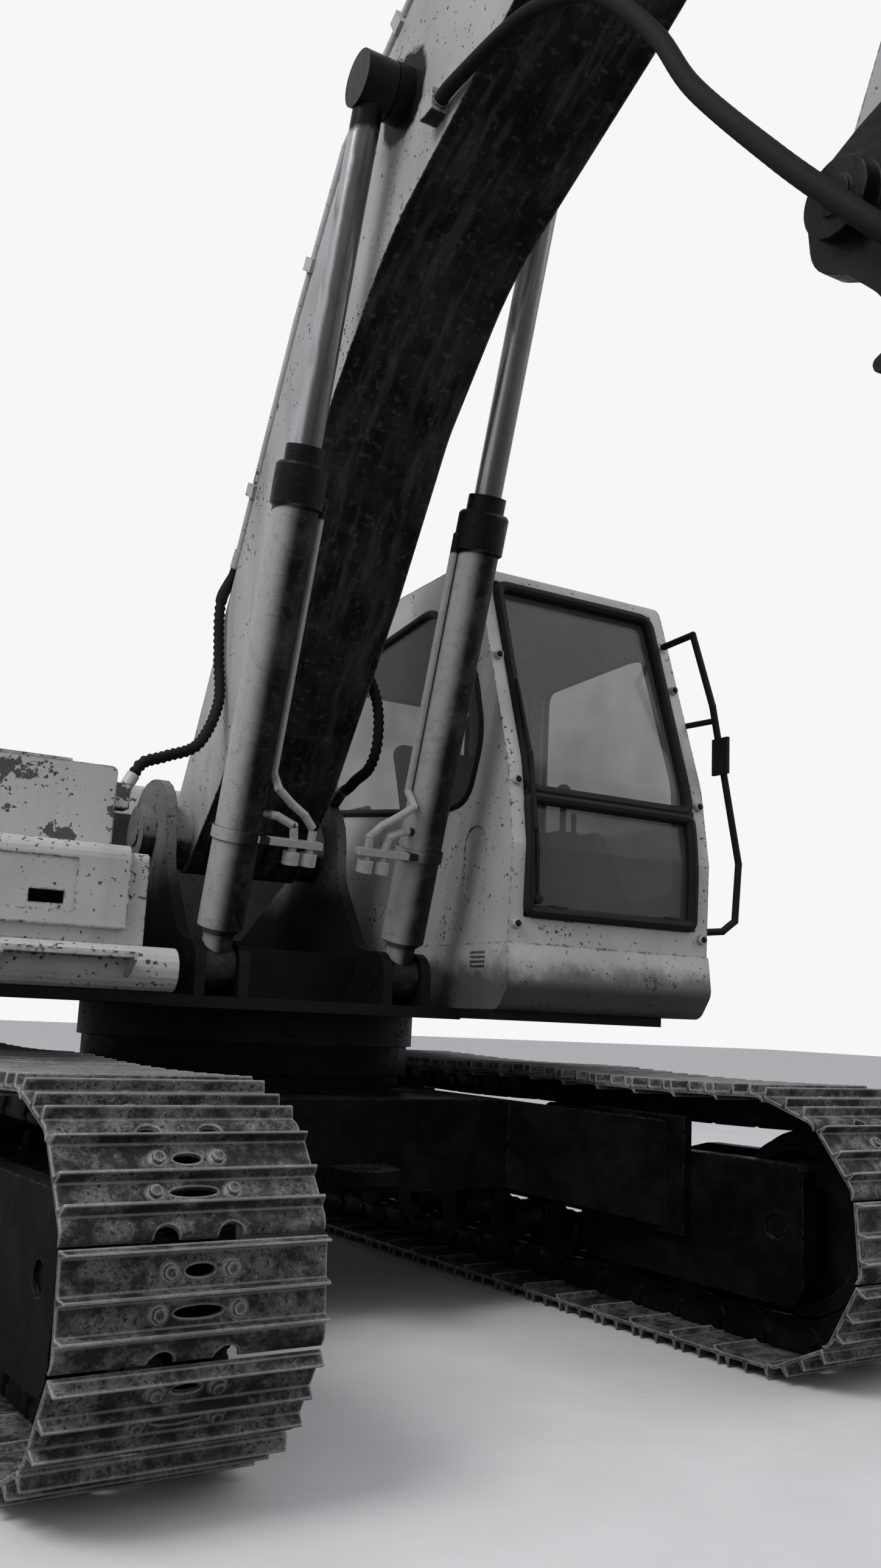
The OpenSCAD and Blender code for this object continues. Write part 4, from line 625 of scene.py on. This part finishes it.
def fasten(piece, name, material, body):
    """Name, smooth shading up to 35 degrees, finish and body."""
    settled(piece)
    bpy.ops.object.shade_smooth_by_angle(angle=math.radians(35))
    piece.name = name
    dress(piece, material)
    # Where the frame holds a material of that name, Blender adds .001 to the new one's.
    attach(piece, body)


def facing(spot, normal, turn=0.0):
    """A matrix that lays a model's +Z along normal at a spot."""
    quarter = Vector(normal).to_track_quat("Z", "X").to_matrix().to_4x4()
    return Matrix.Translation(Vector(spot)) @ quarter @ Matrix.Rotation(turn, 4, "Z")


print("Pieces can be joined, copied and fastened")

# %% [markdown]
# ## Hoses
# The excavator has three hoses that hang free. The two at the boom's foot lie in a ribbed sleeve, and
# the breaker's long hose is nearly smooth. A hose is a circle that follows a route. The ribs are made
# by letting the circle's radius rise and fall along the way, which gives a real outline against the
# sky, where a bump would stay flat. The route repeats the points of the CAD hose, in metres, and a
# smooth curve runs through them.


# %% The hoses' routes
right_foot_route = [
    (-0.325, -0.352, 2.806), (-0.328, -0.336, 2.778), (-0.346, -0.322, 2.735), (-0.366, -0.322, 2.680),
    (-0.371, -0.326, 2.590), (-0.369, -0.352, 2.420), (-0.380, -0.420, 2.227), (-0.473, -0.500, 2.038),
    (-0.611, -0.560, 1.962), (-0.704, -0.598, 1.920), (-0.740, -0.606, 1.868),
]
left_foot_route = [
    (0.125, -0.352, 2.806), (0.128, -0.336, 2.778), (0.147, -0.324, 2.735), (0.168, -0.332, 2.680),
    (0.178, -0.380, 2.590), (0.190, -0.540, 2.430), (0.200, -0.640, 2.270), (0.202, -0.655, 2.120),
    (0.205, -0.590, 2.025), (0.225, -0.430, 1.998), (0.258, -0.300, 1.990), (0.264, -0.250, 1.985),
]
breaker_route = [
    (-0.370, -1.999, 3.830), (-0.370, -2.100, 3.832), (-0.366, -2.450, 3.790), (-0.355, -2.700, 3.680),
    (-0.350, -2.845, 3.555), (-0.352, -3.025, 3.324), (-0.368, -3.177, 3.079), (-0.388, -3.449, 2.736),
    (-0.388, -3.620, 2.535), (-0.368, -3.712, 2.430), (-0.346, -3.741, 2.388), (-0.337, -3.757, 2.345),
]
print("Points on the routes:", len(right_foot_route), len(left_foot_route), len(breaker_route))


# %% A smooth curve along a route
def smooth_route(points, step):
    """Points a step apart on a curve that passes through the route's own points."""
    route = [Vector(point) for point in points]
    dense = []
    for i in range(len(route) - 1):
        a, b, c, d = route[max(0, i - 1)], route[i], route[i + 1], route[min(len(route) - 1, i + 2)]
        for k in range(16):
            t = k / 16
            dense.append(0.5 * (2 * b + (c - a) * t + (2 * a - 5 * b + 4 * c - d) * t * t
                                + (3 * b - a - 3 * c + d) * t * t * t))
    dense.append(route[-1])
    total = sum((q - p).length for p, q in zip(dense, dense[1:]))
    count = max(2, round(total / step))
    line, walked, k = [dense[0]], 0.0, 0
    for wanted in range(1, count):
        while walked + (dense[k + 1] - dense[k]).length < total * wanted / count:
            walked += (dense[k + 1] - dense[k]).length
            k += 1
        share = (total * wanted / count - walked) / (dense[k + 1] - dense[k]).length
        line.append(dense[k].lerp(dense[k + 1], share))
    return line + [dense[-1]], total


print("The breaker hose's curve:", round(smooth_route(breaker_route, 0.1)[1], 3), "m")


# %% Ribbed sleeves along the routes
hose_radius, hose_sides = 0.023, 20


def ribbed_hose(name, points, radius, rib, depth, plain=0.0):
    """A hose whose radius falls to depth and back each rib, past a plain length at its start."""
    line, length = smooth_route(points, rib / 2)
    mesh = bmesh.new()
    rings, side = [], Vector((1, 0.2, 0.1))
    for i, centre in enumerate(line):
        ahead = (line[min(i + 1, len(line) - 1)] - line[max(i - 1, 0)]).normalized()
        side = (side - ahead * side.dot(ahead)).normalized()
        other = ahead.cross(side)
        in_plain = i * rib / 2 < plain
        here = radius if in_plain or i % 2 else radius * depth
        rings.append([mesh.verts.new(centre + here * (math.cos(a) * side + math.sin(a) * other))
                      for a in (math.tau * k / hose_sides for k in range(hose_sides))])
    for ring, after in zip(rings, rings[1:]):
        for k in range(hose_sides):
            beside = (k + 1) % hose_sides
            mesh.faces.new((ring[k], ring[beside], after[beside], after[k]))
    mesh.faces.new(rings[0][::-1])
    mesh.faces.new(rings[-1])
    data = bpy.data.meshes.new(name)
    mesh.to_mesh(data)
    hose = bpy.data.objects.new(name, data)
    bpy.context.collection.objects.link(hose)
    only(hose)
    bpy.ops.object.shade_smooth_by_angle(angle=math.radians(75))
    dress(hose, rubber)
    path = smooth_route(points, length / 30)[0]
    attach(hose, "boom")
    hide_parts(name.replace("_sleeve", ""))
    print(name, "length", round(length, 3), "m")


ribbed_hose("right_foot_hose_sleeve", right_foot_route, hose_radius, rib=0.028, depth=0.74, plain=0.16)
ribbed_hose("left_foot_hose_sleeve", left_foot_route, hose_radius, rib=0.028, depth=0.74)
ribbed_hose("breaker_hose_sleeve", breaker_route, hose_radius, rib=0.03, depth=0.985)

# %% [markdown]
# ## Tracks
# The tracks are the machine's show piece: forty-nine forged links on each side, and on every link a
# steel shoe with three grousers. A shoe is modelled once, lying flat, from a cube that is cut across
# where the bars stand. The bars are extruded and narrowed, an apron is drawn out of the trailing edge
# to cover the gap where the chain turns, the mud holes and the notches that clear the next link are
# cut out, and four bolts are set on. Then the shoe is copied round the chain. The chain is a row of
# straight links on two wheels, so each link's place follows from the pitch alone.

# %% The chain's line, from its pitch
pitch = 0.203
links = 49
wheel_links = 10.5
grouser_up, plate_up, plate_thick, link_half = 0.104, 0.074, 0.012, 0.048
sag = 0.014
gauge_half = 1.195
shoe_half, rail_centre = 0.3, 0.0725
track_turn = Matrix.Rotation(math.radians(4.2), 4, "Z")
pin_circle = pitch / (2 * math.sin(math.pi / wheel_links))
axle_up = pin_circle + grouser_up
half_turn = wheel_links / 2
run = (links - wheel_links) / 2
half_base = pitch * run / 2


def chain_pin(number):
    """A pin's place ahead and up, counted from the top of the idler."""
    t = number % links
    if t < half_turn:
        turn = math.pi * t / half_turn
        return half_base + pin_circle * math.sin(turn), axle_up + pin_circle * math.cos(turn)
    if t < half_turn + run:
        return half_base - (t - half_turn) * pitch, axle_up - pin_circle
    if t < 2 * half_turn + run:
        turn = math.pi * (t - half_turn - run) / half_turn
        return -half_base - pin_circle * math.sin(turn), axle_up - pin_circle * math.cos(turn)
    u = (t - 2 * half_turn - run) / run
    return (-half_base + u * run * pitch,
            axle_up + pin_circle - sag * abs(math.sin(3 * math.pi * u)))


def link_matrix(number, side):
    """Lays a shoe or link on the chain of one side."""
    (f0, z0), (f1, z1) = chain_pin(number), chain_pin(number + 1)
    rise = math.atan2(z1 - z0, f1 - f0)
    middle = Matrix.Translation((side * gauge_half, -(f0 + f1) / 2, (z0 + z1) / 2))
    return track_turn @ middle @ Matrix.Rotation(-rise, 4, "X")


print("Idler at", round(half_base, 3), "m ahead; its axle", round(axle_up, 3), "m up")


# %% Picking faces, bolts and cutters
def pick_faces(piece, wanted):
    """Selects the faces for which wanted(centre, normal) holds, and opens edit mode."""
    only(piece)
    bpy.ops.object.mode_set(mode="EDIT")
    bpy.ops.mesh.select_mode(type="FACE")
    bpy.ops.mesh.select_all(action="DESELECT")
    bpy.ops.object.mode_set(mode="OBJECT")
    for face in piece.data.polygons:
        face.select = wanted(face.center, face.normal)
    bpy.ops.object.mode_set(mode="EDIT")


def hex_bolt(radius, height):
    """A hexagon head on its washer, standing on z = 0."""
    bpy.ops.mesh.primitive_cylinder_add(vertices=6, radius=radius, depth=height, location=(0, 0, height / 2))
    head = settled(bpy.context.object)
    bevelled(head, radius * 0.12, 1)
    bpy.ops.mesh.primitive_cylinder_add(vertices=16, radius=radius * 1.28, depth=height * 0.2,
                                        location=(0, 0, height * 0.1))
    return joined([head, settled(bpy.context.object)])


def oval_cutter(half_across, half_along, across, along):
    """An upright oval bar that goes right through a shoe's plate."""
    bpy.ops.mesh.primitive_cylinder_add(vertices=24, radius=1, depth=0.1, location=(across, along, plate_up))
    cutter = bpy.context.object
    cutter.scale = (half_across, half_along, 1)
    return settled(cutter)


print("A shoe's bars stand", round(grouser_up - plate_up, 3), "m above its plate")


# %% One shoe, from a cube
def track_shoe():
    """A shoe with three grousers, lying flat on its link with its pin line at z = 0."""
    shoe = block((-shoe_half, -0.1, plate_up - plate_thick), (shoe_half, 0.1005, plate_up), edge=0)
    # Each pair of cuts is the foot of one grouser.
    cuts = [0.0985, 0.0845, 0.012, -0.006, -0.063, -0.081]
    for y in cuts:
        pick_faces(shoe, lambda centre, normal: True)
        bpy.ops.mesh.bisect(plane_co=(0, y, 0), plane_no=(0, 1, 0))
        bpy.ops.object.mode_set(mode="OBJECT")
    for far, near in zip(cuts[0::2], cuts[1::2]):
        pick_faces(shoe, lambda c, n: n.z > 0.9 and near < c.y < far)
        bpy.ops.mesh.extrude_region_move(TRANSFORM_OT_translate={"value": (0, 0, grouser_up - plate_up)})
        bpy.ops.transform.resize(value=(0.985, 0.35, 1))
        bpy.ops.object.mode_set(mode="OBJECT")
    for drop in (0.004, 0.012):
        tail = min(vertex.co.y for vertex in shoe.data.vertices)
        pick_faces(shoe, lambda c, n: n.y < -0.7 and c.y < tail + 0.002)
        bpy.ops.mesh.extrude_region_move(TRANSFORM_OT_translate={"value": (0, -0.015, -drop)})
        bpy.ops.object.mode_set(mode="OBJECT")
    bevelled(shoe, 0.0022, 1, 25)
    # Two mud holes in the plate, then a notch over each rail that clears the next link.
    for half_across, half_along, y in ((0.034, 0.013, 0.046), (0.056, 0.012, -0.0345)):
        cut_with(shoe, oval_cutter(half_across, half_along, 0, y))
    for side in (-1, 1):
        cut_with(shoe, oval_cutter(0.03, 0.026, side * rail_centre, -0.132))
    bolt = hex_bolt(0.0165, 0.014)
    spots = [(-0.069, 0.046), (0.069, 0.046), (-0.089, -0.0345), (0.089, -0.0345)]
    bolts = copies(bolt, [facing((x, y, plate_up), (0, 0, 1), 0.4 * k) for k, (x, y) in enumerate(spots)])
    return joined([shoe, bolts])


shoe_model = track_shoe()
print("Triangles on one shoe:", sum(len(f.vertices) - 2 for f in shoe_model.data.polygons))


# %% A chain link, and both tracks
def chain_link():
    """Both sides of a link with its bush, between the shoe and the rollers."""
    sides = [block((x - 0.021, -0.098, -link_half), (x + 0.021, 0.098, 0.06), 0.014)
             for x in (-rail_centre, rail_centre)]
    pin = rod((-0.101, 0.1015, 0), (0.101, 0.1015, 0), 0.026, 16)
    return joined(sides + [pin])


both_sides = ((-1, "right"), (1, "left"))
for body_side, word in both_sides:
    twin = shoe_model.copy()
    twin.data = shoe_model.data.copy()
    bpy.context.collection.objects.link(twin)
    shoes = copies(twin, [link_matrix(i, body_side) for i in range(links)])
    fasten(shoes, word + "_track_shoes", track_steel, "undercarriage")
    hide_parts("track_" + word)
    chain = copies(chain_link(), [link_matrix(i, body_side) for i in range(links)])
    fasten(chain, word + "_track_chain", wheel_steel, "undercarriage")
bpy.data.objects.remove(shoe_model)
print("Triangles on one track:", sum(len(f.vertices) - 2 for f in shoes.data.polygons))

# %% [markdown]
# ## The cab's windows
# The panes sit in black rubber seals, and the seals are what draws the cab's face. Each is a bead
# that runs round its window. A bead is a curve with a round section, turned into a mesh. Its corners
# are rounded by a small arc, because a seal can't be bent sharply.


# %% Rounded loops and beads
def rounded_loop(points, radius):
    """A closed row of places with its corners rounded."""
    loop, steps = [], 6
    for before, here, after in zip(points[-1:] + points[:-1], points, points[1:] + points[:1]):
        reach = min(radius, (before - here).length * 0.45, (after - here).length * 0.45)
        first = here + (before - here).normalized() * reach
        last = here + (after - here).normalized() * reach
        for k in range(steps + 1):
            t = k / steps
            loop.append(first * (1 - t) ** 2 + here * (2 * t * (1 - t)) + last * t * t)
    return loop


def bead(points, radius, closed=True):
    """A round bead along places, as a mesh."""
    bpy.ops.curve.primitive_bezier_curve_add()
    curve = bpy.context.object
    spline = curve.data.splines[0]
    spline.bezier_points.add(len(points) - len(spline.bezier_points))
    for knot, point in zip(spline.bezier_points, points):
        knot.co = point
        knot.handle_left_type = knot.handle_right_type = "VECTOR"
    spline.use_cyclic_u = closed
    spline.resolution_u = 1
    curve.data.bevel_depth = radius
    curve.data.bevel_resolution = 3
    curve.data.use_fill_caps = not closed
    only(curve)
    bpy.ops.object.convert(target="MESH")
    return bpy.context.object


print("Beads can run round a window")


# %% Seals round the panes
def screen_ahead(up):
    """How far ahead the windscreen stands at a height, from stations of (up, ahead)."""
    stations = [(1.34, 1.205), (1.66, 1.214), (1.80, 1.203), (1.90, 1.184), (2.01, 1.155), (2.855, 0.87)]
    for (low, f0), (high, f1) in zip(stations, stations[1:]):
        if up <= high:
            return f0 + (f1 - f0) * (up - low) / (high - low)
    return stations[-1][1]


cab_low_side, cab_high_side = 0.552, 1.353


def screen_loop(low, high, side_in, radius):
    """The outline of one of the windscreen's panes, which bends back with the posts."""
    heights = [low + (high - low) * k / 8 for k in range(9)]
    left = [place(cab_low_side + side_in, screen_ahead(z) + 0.002, z) for z in heights]
    right_edge = [place(cab_high_side - side_in, screen_ahead(z) + 0.002, z) for z in reversed(heights)]
    return rounded_loop(left + right_edge, radius)


def side_loop(side, rows, radius):
    """The outline of a pane that stands upright at one side."""
    return rounded_loop([place(side, ahead, up) for ahead, up in rows], radius)


# The panes' corners, each as (ahead, up).
right_rows = [(-0.43, 1.99), (-0.43, 2.65), (0.54, 2.748), (0.905, 2.41), (0.98, 2.14), (0.89, 1.89),
              (0.64, 1.872)]
quarter_rows = [(-0.44, 1.96), (-0.44, 2.68), (-0.15, 2.70), (-0.15, 1.96)]
door_rows = [(0.04, 1.90), (0.04, 2.64), (0.70, 2.66), (0.80, 2.64), (1.02, 2.04), (1.04, 1.60),
             (0.70, 1.56), (0.50, 1.90)]
cab_side_inner, cab_side_outer = 0.490, 1.415
seals = [
    bead(screen_loop(1.905, 2.775, 0.02, 0.14), 0.024),
    bead(screen_loop(1.455, 1.878, 0.02, 0.14), 0.024),
    bead(side_loop(cab_side_inner + 0.003, right_rows, 0.09), 0.017),
    bead(side_loop(cab_side_outer - 0.003, quarter_rows, 0.06), 0.012),
]
rear = [Vector((x, 0.559, z)) for x, z in ((0.585, 2.005), (1.32, 2.005), (1.32, 2.635), (0.585, 2.635))]
seals.append(bead(rounded_loop(rear, 0.06), 0.012))
fasten(joined(seals), "cab_window_seals", black_trim, "upper_structure")
door_seal = bead(side_loop(cab_side_outer - 0.003, door_rows, 0.07), 0.012)
fasten(door_seal, "door_window_seal", black_trim, "cab_door")
print("Windows with a seal:", len(seals) + 1)

# %% Divider of the windscreen, catches, wiper
divider = block((0.553, -1.197, 1.872), (1.352, -1.172, 1.912), 0.006)
catches = [block((x, -1.226, 1.462), (x + 0.07, -1.196, 1.484), 0.005) for x in (0.665, 1.20)]
fasten(joined([divider] + catches), "screen_divider", black_trim, "upper_structure")
spindle = place(0.60, 1.225, 1.50)
blade = [place(0.575, screen_ahead(up) + off, up) for up, off in ((1.75, 0.03), (2.05, 0.04), (2.35, 0.028))]
arm_joint = place(0.577, screen_ahead(2.05) + 0.045, 2.05)
wiper = [
    rod(spindle + Vector((0, 0.03, 0)), spindle + Vector((0, -0.012, 0)), 0.017),
    bead([spindle, place(0.585, 1.242, 1.68), arm_joint], 0.0065, False),
    bead(blade, 0.008, False),
]
fasten(joined(wiper), "screen_wiper", black_trim, "upper_structure")
print("Divider, catches and wiper made")

# %% [markdown]
# ## Seat cushions
# The seat is foam under woven cloth. A cushion's top is crowned, its sides pull in between the
# corners and a sewn channel runs round the edge of the middle panel. A cube is cut into panels, its
# middle is raised, the channels are pressed in, and two subdivisions make it soft.


# %% A cushion, from a block
def cushion(low, high, crown, axis):
    """Padded block with a sewn channel near its edge; axis is the side that faces the driver."""
    low, high = Vector(low), Vector(high)
    pad = block(low, high, edge=0)
    across = [i for i in range(3) if i != axis]
    # Cuts at both sides of each channel, along it, and through the middle of the pad.
    for i in across:
        for share in (0.12, 0.16, 0.2, 0.5, 0.8, 0.84, 0.88):
            pick_faces(pad, lambda c, n: True)
            cut = [0, 0, 0]
            cut[i] = low[i] + (high[i] - low[i]) * share
            direction = [0, 0, 0]
            direction[i] = 1
            bpy.ops.mesh.bisect(plane_co=cut, plane_no=direction)
            bpy.ops.object.mode_set(mode="OBJECT")
    for vertex in pad.data.vertices:
        shares = [(vertex.co[i] - low[i]) / (high[i] - low[i]) for i in across]
        height = (vertex.co[axis] - low[axis]) / (high[axis] - low[axis])
        bulge = math.prod(math.sin(math.pi * min(1, max(0, t))) for t in shares)
        on_channel = any(abs(t - seam) < 0.01 for t in shares for seam in (0.16, 0.84))
        inside = all(0.15 < t < 0.85 for t in shares)
        if height > 0.5:
            vertex.co[axis] += crown * bulge - (0.012 if on_channel and inside else 0)
        for i, t in zip(across, shares):
            if t < 0.01 or t > 0.99:
                other = [u for u, k in zip(shares, across) if k != i][0]
                vertex.co[i] += (0.5 - t) * 0.02 * math.sin(math.pi * other)
    soft = pad.modifiers.new("soft", "SUBSURF")
    soft.levels = soft.render_levels = 2
    only(pad)
    bpy.ops.object.modifier_apply(modifier="soft")
    return pad


print("A block can be made a cushion")


# %% Seat pan, back rest and base
seat_middle = 0.9525
pan = cushion((seat_middle - 0.25, -0.42, 1.70), (seat_middle + 0.25, 0.12, 1.80), 0.018, 2)
pan.data.transform(Matrix.Translation((0, -0.15, 1.76)) @ Matrix.Rotation(math.radians(-3.2), 4, "X")
                   @ Matrix.Translation((0, 0.15, -1.745)))
fasten(pan, "seat_pan_cushion", seat_cloth, "upper_structure")
back_rest = cushion((seat_middle - 0.235, -0.05, -0.01), (seat_middle + 0.235, 0.06, 0.52), 0.018, 1)
back_rest.data.transform(Matrix.Translation((0, 0.055, 1.825)) @ Matrix.Rotation(math.radians(-18), 4, "X")
                         @ Matrix.Scale(-1, 4, (0, 1, 0)))
back_rest.data.flip_normals()
fasten(back_rest, "seat_back_cushion", seat_cloth, "upper_structure")
base = block((seat_middle - 0.14, -0.33, 1.386), (seat_middle + 0.14, 0.07, 1.70), 0.012)
fasten(base, "seat_base", black_trim, "upper_structure")
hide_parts("operator_seat")
print("Seat made")

# %% [markdown]
# ## Bolts, latches and treads
# A machine is held together by small hardware, and the eye measures its size by it. One hexagon head
# is modelled and set down in circles and rows. A door's paddle sits in a pressed tray, the hood is
# pulled shut by draw latches, and where people climb there are studded treads. Each piece rides on
# the body that it is fixed to, so a latch opens with its door.

# %% Bolts on the travel drives and screws in the guard bosses
def bolted(name, spots, normal, radius, height, material, body):
    """One hexagon head set down at every spot."""
    heads = copies(hex_bolt(radius, height), [facing(spot, normal, 0.5 * k) for k, spot in enumerate(spots)])
    print(name, "heads:", len(spots))
    fasten(heads, name, material, body)


drum_face, drum_circle = 0.205, 0.12
for drive_side, word in both_sides:
    out = drive_side * (gauge_half + drum_face)
    turns = [math.tau * k / 12 for k in range(12)]
    ring = [track_turn @ Vector((out, half_base + drum_circle * math.cos(a),
                                 axle_up + drum_circle * math.sin(a))) for a in turns]
    outward = track_turn.to_3x3() @ Vector((drive_side, 0, 0))
    bolted(word + "_drive_bolts", ring, outward, 0.011, 0.012, wheel_steel, "undercarriage")
# The guard's bosses, each as (ahead, up).
guard_rows = [(1.207, 1.408), (1.177, 1.938), (1.012, 2.451)]
guard_spots = [place(side, ahead + 0.018, up) for side in (0.521, 1.384) for ahead, up in guard_rows]
bolted("guard_boss_screws", guard_spots, (0, -1, 0), 0.0095, 0.006, black_trim, "upper_structure")


# %% Door paddles, hood latches and the hood's rail
side_wall = 1.405


def door_paddle(side, ahead, up):
    """A pressed tray with its lifting paddle, flat on a side wall."""
    wall = side * side_wall
    tray = block((wall - 0.002, -ahead - 0.06, up - 0.045), (wall + 0.004, -ahead + 0.06, up + 0.045), 0.003)
    pick_faces(tray, lambda c, n: n.x * side > 0.9)
    bpy.ops.mesh.inset(thickness=0.012)
    bpy.ops.mesh.extrude_region_move(TRANSFORM_OT_translate={"value": (-side * 0.005, 0, 0)})
    bpy.ops.object.mode_set(mode="OBJECT")
    paddle = block((wall - 0.002, -ahead - 0.036, up - 0.022), (wall + 0.007, -ahead + 0.03, up + 0.024),
                   0.004)
    return joined([tray, paddle])


def draw_latch(back, up):
    """Base, pull and wire hook of a latch on the left wall."""
    base = block((side_wall - 0.002, back - 0.02, up - 0.09), (side_wall + 0.008, back + 0.02, up - 0.02),
                 0.003)
    pull = rod((side_wall + 0.014, back, up - 0.1), (side_wall + 0.014, back, up - 0.03), 0.007)
    wire = [Vector((side_wall + out, back + aside, up + rise)) for out, aside, rise in (
        (0.012, -0.011, -0.04), (0.01, -0.011, 0.008), (0.01, 0.011, 0.008), (0.012, 0.011, -0.04))]
    return joined([base, pull, bead(wire, 0.003, False)])


for door_side, word in both_sides:
    fasten(door_paddle(door_side, -1.19, 1.60), word + "_door_paddle", black_trim, word + "_service_door")
latches = joined([draw_latch(back, 1.955) for back in (1.22, 1.90)])
fasten(latches, "hood_latches", black_trim, "upper_structure")
rail_path = [Vector((1.15, back, up)) for back, up in (
    (1.30, 2.11), (1.30, 2.175), (1.33, 2.205), (1.87, 2.215), (1.90, 2.185), (1.90, 2.12))]
fasten(bead(rail_path, 0.012, False), "hood_rail", black_trim, "engine_hood")
print("Paddles, latches and the hood's rail made")


# %% Studded treads
def studded_tread(low, high, across, along):
    """A rubber plate with rows of round studs."""
    plate = block(low, high, 0.003)
    bpy.ops.mesh.primitive_cylinder_add(vertices=10, radius=0.008, depth=0.005)
    stud = bevelled(settled(bpy.context.object), 0.0015, 1)
    spots = [Matrix.Translation((low[0] + (high[0] - low[0]) * (i + 0.5) / across,
                                 low[1] + (high[1] - low[1]) * (j + 0.5) / along, high[2] + 0.002))
             for i in range(across) for j in range(along)]
    return joined([plate, copies(stud, spots)])


step_studs, hood_studs = 12, 14
step_tread = studded_tread((-1.26, -1.08, 1.2395), (-0.86, -0.66, 1.2445), step_studs, step_studs)
fasten(step_tread, "step_tread", black_trim, "upper_structure")
hood_tread = studded_tread((0.25, 1.35, 2.128), (0.75, 1.85, 2.134), hood_studs, hood_studs)
fasten(hood_tread, "hood_tread", black_trim, "engine_hood")
print("Studs on the step:", step_studs ** 2, "and on the hood:", hood_studs ** 2)

# %% [markdown]
# ## Floor and light
# The background of the picture is left out. A wide pale floor keeps the machine's shadow, and the
# light is that of a bright overcast day: an even white world, one large soft lamp from the front
# right and one from the left. Through Light Path the floor and the world look pale to the camera and
# through glass only, so that no extra light has to fall on the machine.


# %% Pale floor
def pale_floor():
    """A floor that is pale to the camera and darker to the light that it throws back."""
    bpy.ops.mesh.primitive_plane_add(size=120, location=(0, 0, -0.002))
    floor = bpy.context.object
    floor.name = "floor"
    finish = Finish("pale_floor")
    speckle = finish.noise(3.0, 4).ramp(0.3, 0.8)
    seen = finish.add("LightPath", {})
    through_glass = Value(finish, seen.outputs["Is Transmission Ray"])
    either = Value(finish, seen.outputs["Is Camera Ray"]).highest(through_glass)
    pale = finish.mix(speckle, grey(0.74), grey(0.8))
    dress(floor, finish.done(Base_Color=finish.mix(either, grey(0.2), pale), Roughness=0.9))


pale_floor()
print("Floor laid")


# %% Overcast world
def overcast_world():
    """An even sky that is white to the camera and through glass."""
    world = bpy.data.worlds.new("overcast")
    bpy.context.scene.world = world
    world.use_nodes = True
    tree = world.node_tree
    seen = tree.nodes.new("ShaderNodeLightPath")
    sky = tree.nodes["Background"]
    sky.inputs["Color"].default_value = (0.93, 0.95, 1, 1)
    sky.inputs["Strength"].default_value = 0.55
    white = tree.nodes.new("ShaderNodeBackground")
    white.inputs["Color"].default_value = (0.93, 0.93, 0.93, 1)
    white.inputs["Strength"].default_value = 1
    either = tree.nodes.new("ShaderNodeMath")
    either.operation = "MAXIMUM"
    tree.links.new(seen.outputs["Is Camera Ray"], either.inputs[0])
    tree.links.new(seen.outputs["Is Transmission Ray"], either.inputs[1])
    mix = tree.nodes.new("ShaderNodeMixShader")
    tree.links.new(either.outputs[0], mix.inputs[0])
    tree.links.new(sky.outputs[0], mix.inputs[1])
    tree.links.new(white.outputs[0], mix.inputs[2])
    tree.links.new(mix.outputs[0], tree.nodes["World Output"].inputs["Surface"])


overcast_world()
bpy.context.scene.view_settings.view_transform = "Standard"
print("World:", bpy.context.scene.world.name)


# %% Two soft lamps
lamp_target = Vector((0, -1, 2))


def soft_lamp(name, spot, size, watts):
    """A square lamp that looks at the machine's middle."""
    bpy.ops.object.light_add(type="AREA", location=spot)
    lamp = bpy.context.object
    lamp.name = name
    lamp.data.size = size
    lamp.data.energy = watts
    lamp.rotation_euler = (lamp_target - Vector(spot)).to_track_quat("-Z", "Y").to_euler()


soft_lamp("key_lamp", (-9, -4, 11), size=6, watts=850)
soft_lamp("fill_lamp", (9, -5, 9), size=8, watts=240)
